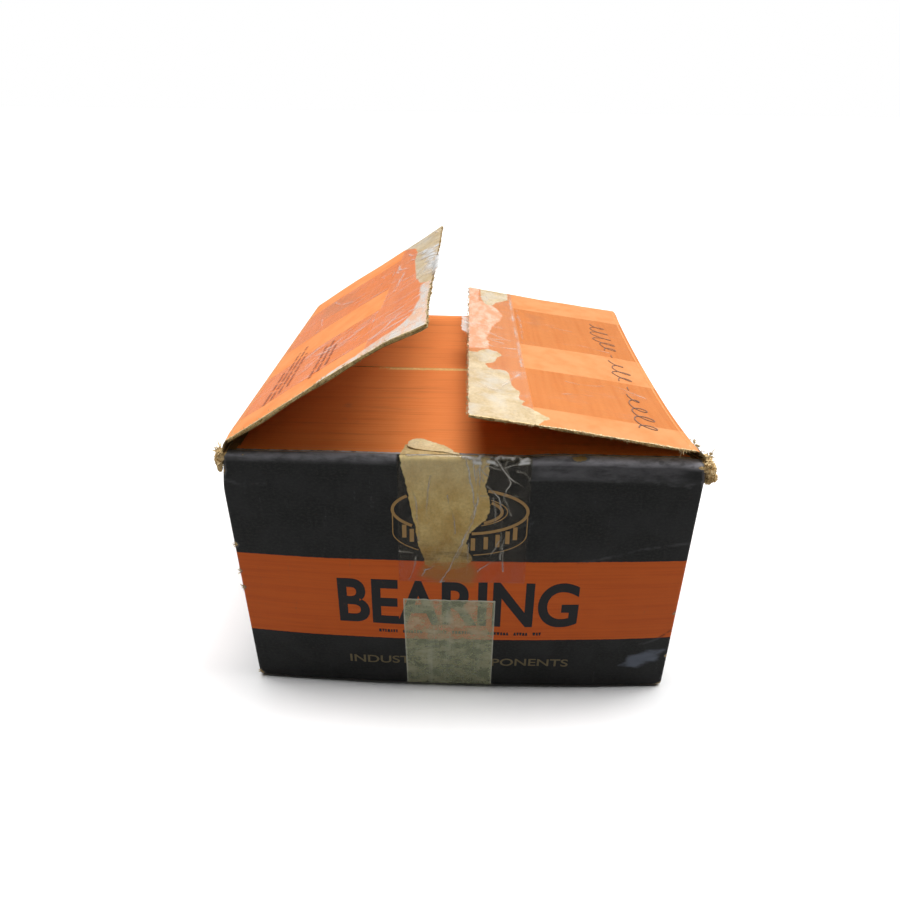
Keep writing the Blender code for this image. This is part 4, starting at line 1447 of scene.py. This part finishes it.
def front_lettering(name, text, centre, width, height, ink, bold):
    word = make_lettering(name, text, centre, width, height, wall_place(0.0), PRINT_LIFT, ink, bold)
    settle(word, "carton", "printed_front")


def ring_arc(centre, share_wide, share_tall, start, end, count):
    return arc(centre, RING_WIDE * share_wide, RING_TALL * share_tall, start, end, count)


def make_front_print():
    """Generic print: a plain word, a plain product line, a simple pictogram, and unreadable small print."""
    front_lettering("front_word", "BEARING", (-1 * MM, 68 * MM), 140 * MM, 33 * MM, INK_BLACK, 0.026)
    front_lettering("front_line", "INDUSTRIAL COMPONENTS", (0.0, 22 * MM), 134 * MM, 6.2 * MM, INK_GOLD,
                    0.014)
    small = print_rows([(46.2, -48, 48)], "a", 1.25, 0.55, 7)
    front_strokes("front_small_print", small, 2.3 * MM, INK_BLACK)
    thick = [ring_arc(RING_CENTRE, 1.0, 1.0, 0, 360, 90), ring_arc(RING_CENTRE, 0.62, 0.60, 0, 360, 70)]
    front_strokes("pictogram_rings", outside(thick, TORN_FRONT), 1.7 * MM, INK_TAN)
    thin = [ring_arc(RING_FOOT, 1.0, 1.0, 180, 360, 60), ring_arc(RING_CENTRE, 0.70, 0.68, 0, 360, 70)]
    for end in (-1, 1):
        x = RING_CENTRE[0] + end * RING_WIDE
        thin.append([(x, RING_CENTRE[1]), (x, RING_FOOT[1])])
    front_strokes("pictogram_outline", outside(thin, TORN_FRONT), 0.55 * MM, INK_TAN)
    bars = []
    for step in range(11):
        turn = math.radians(207 + step * 126 / 10)
        x = RING_CENTRE[0] + RING_WIDE * 0.93 * math.cos(turn)
        top = RING_CENTRE[1] + RING_TALL * math.sin(turn) - 3.0 * MM
        bars.append([(x, top), (x, top - 8.0 * MM)])
    front_strokes("pictogram_rollers", outside(bars, TORN_FRONT), 2.4 * MM, INK_TAN)


def scrawl(level, start, groups, rng):
    """Looping marker scrawl that spells nothing: uneven loops, a dash between groups. In millimetres."""
    strokes = []
    at = start
    for number, loops in enumerate(groups):
        marks = np.arange(loops + 2)
        tall = [rng.uniform(3.2, 7.6) for _ in marks]
        wide = [rng.uniform(2.4, 5.2) for _ in marks]
        pitch = [rng.uniform(9.5, 15.0) for _ in marks]
        drift = [rng.gauss(0.0, 1.2) for _ in marks]
        ends = np.concatenate([[0.0], np.cumsum(pitch)])
        path = []
        for t in np.linspace(0.0, loops, loops * 26):
            turn = 2 * math.pi * t
            rise = np.interp(t, marks, tall) * math.cos(turn) + np.interp(t, marks, drift)
            along = at + np.interp(t, np.arange(len(ends)), ends) + np.interp(t, marks, wide) * math.sin(turn)
            path.append(((level + rise) * MM, (along + 0.3 * rise) * MM))
        strokes.append(path)
        at += ends[loops] + 8.0
        if number < len(groups) - 1:
            strokes.append([(level * MM, at * MM), ((level + 0.6) * MM, (at + 2.5) * MM),
                            (level * MM, (at + 5.0) * MM)])
            at += 12.0
    return strokes


def make_flap_print():
    """Marker scrawl on the right flap, and unreadable printed lines on the left one."""
    marks = scrawl(24.0, -113.0, (4, 3, 5), random.Random(12))
    marker = make_strokes("marker_scrawl", marks, 0.7 * MM, flap_place("right"), FLAP_INK_LIFT, INK_MARKER)
    settle(marker, "right_flap", "orange_board")
    rows = [(21, -106, -60), (25.5, -104, -30), (30, -100, -26), (34.5, -96, -44), (54, -110, -62),
            (58.5, -106, -58), (63, -102, -70)]
    bars = print_rows(rows, "b", 1.4, 0.8, 9)
    lines = make_strokes("left_small_print", bars, 1.9 * MM, flap_place("left"), FLAP_INK_LIFT, INK_STAMP)
    settle(lines, "left_flap", "orange_board")


def make_tongue():
    """The liner tongue torn up off the front of the lid. Its near edge stands off, its far edge lies down."""
    far = [(-30, -111.0), (-28, -108.6), (-25.6, -107.4), (-22, -107.6), (-16.4, -111.3), (-9.3, -115.8),
           (-4.2, -121.5), (-2.5, -124.2)]
    near = [(-30, -116.0), (-29, -117.6), (-26, -119.6), (-22.6, -120.6), (-15, -122.2), (-9.3, -123.2),
            (-5, -124.4), (-2.5, -125.0)]
    share, along = np.linspace(0.0, 1.0, 12), np.linspace(-30.0, -2.5, 40)
    far_b = np.interp(along, [p[0] for p in far], [p[1] for p in far])
    near_b = np.interp(along, [p[0] for p in near], [p[1] for p in near])
    t, a = np.meshgrid(share, along, indexing="ij")
    b = (near_b + (far_b - near_b) * t) * MM
    a = a * MM + 0.25 * MM * jitter(0 * b, b, 900.0, 4.0)
    b = b + 0.30 * MM * jitter(a, 0 * b, 700.0, 5.0)
    lift = (0.06 + 0.56 * (1.0 - t) ** 1.3 * (1.0 - 0.75 * smooth(a, -0.012, -0.0025))) * MM

    def place(a, b, w):
        x, y, _ = carton_shape(a, b, np.full_like(a, LID_TOP))
        return x, y, LID_TOP + 0.3 * MM + lift + 0.08 * MM * np.sin(a * 420.0) + w

    tongue = make_sheet("torn_liner_tongue", a, b, place, 0.55 * MM, {}, PALE_KRAFT_PAINT)
    settle(tongue, "carton", "torn_liner", "liner_tongue")


SHRED_THICKNESS = 0.15 * MM
SHRED_PARTS = 5


def make_shreds(name, spots, seed, widths=(0.4, 1.5)):
    """Shreds of torn paper: short bent ribbons that taper.

    A spot is its centre, spread, direction, count and length."""
    rng = random.Random(seed)
    vertices, faces = [], []
    for centre, spread, direction, count, length in spots:
        for _ in range(count):
            root = Vector(centre) + Vector([rng.gauss(0.0, 1.0) * s for s in spread])
            heading = (Vector(direction) + Vector([rng.gauss(0.0, 0.55) for _ in range(3)])).normalized()
            side = heading.cross(Vector([rng.gauss(0.0, 1.0) for _ in range(3)])).normalized()
            bend = heading.cross(side).normalized()
            reach = length * rng.uniform(0.5, 1.3)
            width = rng.uniform(*widths) * MM
            curl = rng.uniform(-0.6, 0.6)
            first = len(vertices)
            for k in range(SHRED_PARTS + 1):
                t = k / SHRED_PARTS
                middle = root + heading * (reach * t) + bend * (curl * reach * t * t)
                half = side * (width * (1.0 - 0.75 * t) * rng.uniform(0.75, 1.1) / 2)
                for offset in (half, -half):
                    for level in (SHRED_THICKNESS / 2, -SHRED_THICKNESS / 2):
                        vertices.append(tuple(middle + offset + bend * level))
            for k in range(SHRED_PARTS):
                p, q = first + 4 * k, first + 4 * (k + 1)
                faces += [(p, p + 2, q + 2, q), (p + 1, q + 1, q + 3, p + 3), (p, q, q + 1, p + 1),
                          (p + 2, p + 3, q + 3, q + 2)]
            last = first + 4 * SHRED_PARTS
            faces += [(first, first + 1, first + 3, first + 2), (last, last + 2, last + 3, last + 1)]
    mesh = facing_out(name, vertices, faces)
    mesh.materials.append(SHRED_PAINT)
    return new_object(name, mesh)


def make_wad(name, lumps, seed):
    """A wad of crushed board: lumps of displaced balls, each a centre and its three radii, in millimetres."""
    bm = bmesh.new()
    raised = []
    for number, (centre, radii) in enumerate(lumps):
        ball = bmesh.ops.create_icosphere(bm, subdivisions=5, radius=1.0)
        offset = Vector((seed, 7.0 * number, 0.0))
        for vertex in ball["verts"]:
            way = vertex.co.normalized()
            folds = 1.0 - abs(noise.noise(way * 2.6 + offset)) * 2.0
            fibre = noise.noise(way * 7.0 + offset)
            size = 0.72 + 0.34 * folds + 0.20 * fibre + 0.08 * noise.noise(way * 19.0 + offset)
            vertex.co = Vector([c + r * size * d for c, r, d in zip(centre, radii, way)]) * MM
            raised.append(size)
    mesh = mesh_of(name, bm)
    low, high = min(raised), max(raised)
    values = [(value - low) / (high - low) for value in raised]
    add_field(mesh, "raised", values)
    mesh.materials.append(WAD_PAINT)
    return settle(new_object(name, mesh), "carton", "torn_liner")


def press_flat(piece):
    """Gives a piece at a corner a mesh of its own."""
    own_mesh(piece)


# Crushed board at the two front top corners, in millimetres: how far each lump lies outside the side wall,
# behind the front wall and above the lid, and its three radii
CORNER_LUMPS = {
    "left": [((3.8, 2.4, -6.0), (2.2, 3.0, 4.6)), ((3.4, 0.8, -9.5), (1.5, 1.6, 3.2)),
             ((2.4, 2.0, -1.0), (2.2, 2.8, 2.2)), ((1.6, 0.4, -3.8), (1.7, 1.1, 1.7))],
    "right": [((4.2, 3.5, -6.5), (3.0, 4.5, 4.6)), ((6.0, 3.0, -10.5), (2.6, 3.4, 2.8)),
              ((3.8, 2.5, -12.0), (2.4, 2.8, 2.6)), ((1.6, 4.0, -1.2), (2.8, 5.5, 2.6)),
              ((1.4, 0.6, -5.2), (1.8, 1.4, 1.6)), ((-1.0, 0.4, -3.6), (2.4, 1.0, 1.1))],
}
# Loose fibres there: the same three distances, their spread, the way they point, their number and length
CORNER_FIBRES = {
    "left": [((2.5, 1, 0.5), (0.8, 1.0, 2.2), (-0.4, -0.6, -0.2), 14, 3.0),
             ((3, 0.5, -8), (0.8, 0.7, 3.5), (-0.2, -0.4, -0.8), 12, 3.0)],
    "right": [((2, 3, 1), (1.2, 2.0, 1.2), (0.5, -0.3, 0.4), 16, 3.5),
              ((-2.2, 12, 2.6), (0.3, 5, 0.4), (0.6, 0.0, 0.6), 26, 1.8),
              ((4, 2, -6), (1.5, 1.5, 3.5), (0.6, -0.5, -0.3), 14, 2.6)],
}
WAD_SEEDS = {"left": 8.0, "right": 3.0}
CORNER_SEEDS = {"left": 3, "right": 4}
FUZZ_SEEDS = {"left": 7, "right": 6}
# Heights of the frayed chips down the left front edge
EDGE_CHIPS = (103 * MM, 84 * MM, 72 * MM, 4 * MM)


def as_point(placed):
    return tuple(float(c) for c in np.ravel(placed))


def make_corner_wad(side):
    sign = OUTWARD[side]
    half, front, high = HALF_WIDTH / MM, -HALF_DEPTH / MM, LID_TOP / MM
    lumps = [((sign * (half + out), front + behind, high + above), radii)
             for (out, behind, above), radii in CORNER_LUMPS[side]]
    press_flat(make_wad(f"{side}_corner_wad", lumps, WAD_SEEDS[side]))


def make_corner_shreds(side):
    sign = OUTWARD[side]
    spots = []
    for (out, behind, above), spread, heading, count, length in CORNER_FIBRES[side]:
        root = (sign * (HALF_WIDTH + out * MM), -HALF_DEPTH + behind * MM, LID_TOP + above * MM)
        spots.append((root, tuple(c * MM for c in spread), heading, count, length * MM))
    if side == "left":
        for z in EDGE_CHIPS:
            root = as_point(carton_shape(-HALF_WIDTH + 0.9 * MM, -HALF_DEPTH + 0.9 * MM, z))
            spots.append((root, (0.2 * MM, 0.2 * MM, 0.8 * MM), (-0.8, -0.5, -0.1), 8, 2.1 * MM))
    shreds = make_shreds(f"{side}_corner_shreds", spots, CORNER_SEEDS[side])
    press_flat(settle(shreds, "carton", "torn_liner"))


def make_flap_fuzz(side):
    """Fine fibres along an outer flap's front edge and its free edge."""
    place = flap_place(side)
    fuzz = []
    for a in range(4, 126, 2):
        root = as_point(place(a * MM, -HALF_DEPTH + 0.3 * MM, -0.4 * MM))
        fuzz.append((root, (0.9 * MM, 0.25 * MM, 0.35 * MM), (0.1, -0.7, -0.5), 5, 1.0 * MM))
    for b in range(-126, -40 if side == "left" else 126, 3):
        root = as_point(place(place.length, b * MM, -0.6 * MM))
        fuzz.append((root, (0.2 * MM, 1.2 * MM, 0.5 * MM), tuple(place.ahead), 3, 0.9 * MM))
    if side == "right":
        star = as_point(place(9.5 * MM, -HALF_DEPTH, -1.5 * MM))
        fuzz.append((star, (0.9 * MM, 0.3 * MM, 0.5 * MM), (-0.2, -0.4, -0.9), 9, 2.4 * MM))
    shreds = make_shreds(f"{side}_flap_shreds", fuzz, FUZZ_SEEDS[side], widths=(0.15, 0.55))
    settle(shreds, f"{side}_flap", "torn_liner")


def make_frayed_corners():
    for side in ("right", "left"):
        make_corner_wad(side)
    for side in ("left", "right"):
        make_corner_shreds(side)
    for side in ("left", "right"):
        make_flap_fuzz(side)


# Bearing, turned smooth round the CAD's own sections

FOOT = JOINTS["cone_spin"]["pos_m"][2]
BORE_RADIUS = 63.5 * MM
CUP_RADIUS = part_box("cup")[1].x
CUP_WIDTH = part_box("cup")[1].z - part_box("cup")[0].z
CONE_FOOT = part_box("cone")[0].z - FOOT
CONE_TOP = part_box("cone")[1].z - FOOT
ROLLER_COUNT = 20
ROLLER_TILT = math.acos(JOINTS["roller_01_spin"]["axis"][2])
ROLLER_HALF_TAPER = math.radians(2)
ROLLER_LENGTH = 40 * MM
PITCH_RADIUS = JOINTS["roller_01_spin"]["pos_m"][0]
MIDDLE_HEIGHT = JOINTS["roller_01_spin"]["pos_m"][2] - FOOT
ROLLER_RADIUS = PITCH_RADIUS / math.sin(ROLLER_TILT) * math.tan(ROLLER_HALF_TAPER)
CLEARANCE = 0.3 * MM
BIG_RIB_RADIUS = 91 * MM
SMALL_RIB_RADIUS = 75.7 * MM
CORNER = 3 * MM
# How many straight pieces a turned ring and a roller have round their axis
RING_STEPS = 160
ROLLER_STEPS = 48
# How far the inside and the outside of the cage's sheet stand off the rollers' axes
CAGE_OFFSET = (4 * MM, 6.5 * MM)


def beside_roller(along, out):
    """A point of the half section, along a roller's axis from its middle and out from that axis."""
    radius = PITCH_RADIUS + along * math.sin(ROLLER_TILT) + out * math.cos(ROLLER_TILT)
    height = MIDDLE_HEIGHT + along * math.cos(ROLLER_TILT) - out * math.sin(ROLLER_TILT)
    return radius, height


def on_raceway(along, side):
    """A point just off a roller's surface: side is 1 on the cup's raceway and -1 on the cone's."""
    return beside_roller(along, side * (ROLLER_RADIUS + along * math.tan(ROLLER_HALF_TAPER) + CLEARANCE))


def raceway_at_height(height):
    low, high = on_raceway(-ROLLER_LENGTH / 2, 1), on_raceway(ROLLER_LENGTH / 2, 1)
    return low[0] + (high[0] - low[0]) * (height - low[1]) / (high[1] - low[1]), height


def along_to_radius(along, radius):
    """The point at a given radius on the line square to a roller's axis."""
    return beside_roller(along,
                         (radius - PITCH_RADIUS - along * math.sin(ROLLER_TILT)) / math.cos(ROLLER_TILT))


def rounded(profile, radii):
    """A closed profile with its corners rounded, each by its own radius."""
    points = []
    for k, radius in enumerate(radii):
        corner = Vector(profile[k])
        back, ahead = Vector(profile[k - 1]) - corner, Vector(profile[(k + 1) % len(profile)]) - corner
        reach = min(radius, 0.45 * back.length, 0.45 * ahead.length)
        start, end = corner + back.normalized() * reach, corner + ahead.normalized() * reach
        for t in (0.0, 0.2, 0.4, 0.6, 0.8, 1.0):
            points.append(tuple(start * (1 - t) ** 2 + corner * 2 * t * (1 - t) + end * t ** 2))
    return points


def turned(name, profile, count, paint, closed=True):
    """A body turned about Z from a profile of radius and height, closed on itself or ending on the axis."""
    bm = bmesh.new()
    rings = []
    for radius, height in profile:
        if radius < 1e-7:
            rings.append([bm.verts.new((0.0, 0.0, height))])
        else:
            turns = [2 * math.pi * k / count for k in range(count)]
            rings.append([bm.verts.new((radius * math.cos(t), radius * math.sin(t), height)) for t in turns])
    for here, ahead in zip(rings, rings[1:] + (rings[:1] if closed else [])):
        for k in range(count):
            corners = [here[k % len(here)], here[(k + 1) % len(here)], ahead[(k + 1) % len(ahead)],
                       ahead[k % len(ahead)]]
            bm.faces.new(list(dict.fromkeys(corners)))
    bmesh.ops.recalc_face_normals(bm, faces=bm.faces[:])
    mesh = mesh_of(name, bm)
    mesh.materials.append(paint)
    mesh.shade_smooth()
    mesh.set_sharp_from_angle(angle=math.radians(30))
    return mesh


def link_piece(name, mesh, matrix):
    obj = bpy.data.objects.new(name, mesh)
    bpy.context.scene.collection.objects.link(obj)
    obj.matrix_world = matrix
    return obj


def roller_places():
    for index in range(ROLLER_COUNT):
        turn = Matrix.Rotation(2 * math.pi * index / ROLLER_COUNT, 4, "Z")
        shift = Matrix.Translation((PITCH_RADIUS, 0.0, MIDDLE_HEIGHT))
        yield Matrix.Translation((0.0, 0.0, FOOT)) @ turn @ shift @ Matrix.Rotation(ROLLER_TILT, 4, "Y")


def make_rings():
    cup = rounded([raceway_at_height(CUP_WIDTH), (CUP_RADIUS, CUP_WIDTH), (CUP_RADIUS, 0.0),
                   raceway_at_height(0.0)], [0.8 * MM, 1.5 * MM, CORNER, 0.8 * MM])
    rib_face = ROLLER_LENGTH / 2 + CLEARANCE
    small_face = -ROLLER_LENGTH / 2 - 2 * CLEARANCE
    cone = rounded([(BORE_RADIUS, CONE_TOP), (BIG_RIB_RADIUS, CONE_TOP),
                    along_to_radius(rib_face, BIG_RIB_RADIUS), on_raceway(rib_face, -1),
                    on_raceway(small_face, -1), along_to_radius(small_face, SMALL_RIB_RADIUS),
                    (SMALL_RIB_RADIUS, CONE_FOOT), (BORE_RADIUS, CONE_FOOT)],
                   [CORNER, 1.0 * MM, 0.4 * MM, 0.3 * MM, 0.3 * MM, 0.4 * MM, 1.0 * MM, 1.0 * MM])
    place = Matrix.Translation((0.0, 0.0, FOOT))
    for node, body, profile in (("cup", "carton", cup), ("cone", "cone", cone)):
        ring = link_piece(f"{node}_ring", turned(f"{node}_ring", profile, RING_STEPS, STEEL_PAINT), place)
        settle(ring, body, "bearing_steel", node)


def make_rollers():
    half = ROLLER_LENGTH / 2
    low, high = (ROLLER_RADIUS + end * half * math.tan(ROLLER_HALF_TAPER) for end in (-1, 1))
    edge = 0.9 * MM
    dimple = 0.6 * MM
    profile = [(0.0, -half + dimple), (low * 0.42, -half + dimple), (low * 0.50, -half),
               (low - edge, -half), (low - 0.3 * edge, -half + 0.25 * edge), (low, -half + edge),
               (high, half - edge), (high - 0.3 * edge, half - 0.25 * edge), (high - edge, half),
               (high * 0.50, half), (high * 0.42, half - dimple), (0.0, half - dimple)]
    for index, place in enumerate(roller_places(), start=1):
        name = f"roller_{index:02d}"
        mesh = turned(f"{name}_body", profile, ROLLER_STEPS, ROLLER_PAINT, closed=False)
        roller = link_piece(f"{name}_body", mesh, place)
        settle(roller, name, "bearing_steel", name)


def make_cage():
    """The cage's cone of sheet steel, with a window cut for each roller."""
    inner, outer = CAGE_OFFSET
    top = ROLLER_LENGTH / 2 + 5.5 * MM
    ring_top, ring_foot = -ROLLER_LENGTH / 2 - 1.8 * MM, -ROLLER_LENGTH / 2 - 4.3 * MM
    flange = -8 * MM
    profile = [beside_roller(top, outer), beside_roller(ring_foot, outer), beside_roller(ring_foot, flange),
               beside_roller(ring_top, flange), beside_roller(ring_top, inner), beside_roller(top, inner)]
    section = rounded(profile, [0.8 * MM, 2.0 * MM, 0.8 * MM, 0.8 * MM, 0.8 * MM, 0.8 * MM])
    shell = turned("cage_shell", section, RING_STEPS, CAGE_PAINT)
    cage = link_piece("cage_shell", shell, Matrix.Translation((0.0, 0.0, FOOT)))
    bm = bmesh.new()
    reach = 0.5 * MM
    half = ROLLER_LENGTH / 2 + reach
    low, high = (ROLLER_RADIUS + end * half * math.tan(ROLLER_HALF_TAPER) + reach for end in (-1, 1))
    for place in roller_places():
        bmesh.ops.create_cone(bm, cap_ends=True, segments=40, radius1=low, radius2=high, depth=2 * half,
                              matrix=place)
    cutter = link_piece("cage_windows", mesh_of("cage_windows", bm), Matrix())
    cut = cage.modifiers.new("windows", "BOOLEAN")
    cut.operation = "DIFFERENCE"
    cut.solver = "EXACT"
    cut.object = cutter
    bpy.context.view_layer.update()
    done = bpy.data.meshes.new_from_object(cage.evaluated_get(bpy.context.evaluated_depsgraph_get()))
    cage.modifiers.clear()
    cage.data = done
    done.set_sharp_from_angle(angle=math.radians(30))
    bpy.data.objects.remove(cutter, do_unlink=True)
    settle(cage, "cage", "cage_steel", "cage")


KRAFT_PAINT = kraft_paint("kraft", (0.40, 0.26, 0.105), (0.54, 0.385, 0.18))
EDGE_PAINT = kraft_paint("cut_kraft", (0.62, 0.45, 0.20), (0.86, 0.70, 0.42))
PALE_KRAFT_PAINT = kraft_paint("pale_kraft", (0.80, 0.60, 0.31), (0.97, 0.81, 0.52))
CUT_PAINT = cut_paint()
SHRED_PAINT = kraft_paint("shredded_kraft", (0.50, 0.35, 0.16), (0.86, 0.68, 0.40))
WAD_PAINT = wad_paint()
WALL_PAINT = wall_paint()
LID_PAINT = lid_paint()
FLAP_PAINTS = {side: flap_paint(side) for side in ("left", "right")}
CREASE_PAINT = crease_paint()
INNER_CREASE_PAINT = inner_crease_paint()
SEAL_TAPE_PAINT = tape_paint("seal_tape", (0.55, 0.48, 0.34), 0.03, 0.07, (60.0, 18.0))
SEAM_TAPE_PAINTS = {"left": tape_paint("left_seam_tape", (0.90, 0.78, 0.68), 0.05, 0.45, (25.0, 120.0)),
                    "right": tape_paint("right_seam_tape", (0.86, 0.74, 0.60), 0.05, 0.25, (40.0, 60.0))}
CROSS_TAPE_PAINTS = {"left": tape_paint("left_cross_tape", (0.95, 0.58, 0.40), 0.05, 0.38, (14.0, 170.0)),
                     "right": tape_paint("right_cross_tape", (0.75, 0.40, 0.20), 0.03, 0.10, (20.0, 60.0))}
FROSTED_PAINT = frosted_paint()
INK_BLACK = ink_paint("ink_black", (0.016, 0.016, 0.018), (0.14, 0.05, 0.025), 0.45)
INK_GOLD = ink_paint("ink_gold", (0.21, 0.165, 0.085), (0.05, 0.045, 0.035), 0.5)
INK_TAN = ink_paint("ink_tan", (0.50, 0.29, 0.10), (0.14, 0.09, 0.05), 0.4)
INK_MARKER = ink_paint("ink_marker", (0.26, 0.15, 0.11), (0.55, 0.22, 0.09), 0.4)
INK_STAMP = ink_paint("ink_stamp", (0.44, 0.16, 0.09), (0.80, 0.27, 0.10), 0.9)
STEEL_PAINT = steel_paint("ground_steel", (0.58, 0.59, 0.60), 0.20, 1200.0)
ROLLER_PAINT = steel_paint("roller_steel", (0.64, 0.65, 0.66), 0.14, 1500.0)
CAGE_PAINT = steel_paint("cage_sheet", (0.30, 0.29, 0.27), 0.38, 500.0)

aim_camera()
light_scene()
lay_floor()
make_walls()
make_flaps()
make_lid()
make_bottom()
make_wall_tape()
make_front_print()
make_flap_print()
make_tongue()
make_frayed_corners()
make_rings()
make_rollers()
make_cage()
frame["nodes"]["glue_tab"].data.materials.clear()
frame["nodes"]["glue_tab"].data.materials.append(KRAFT_PAINT)
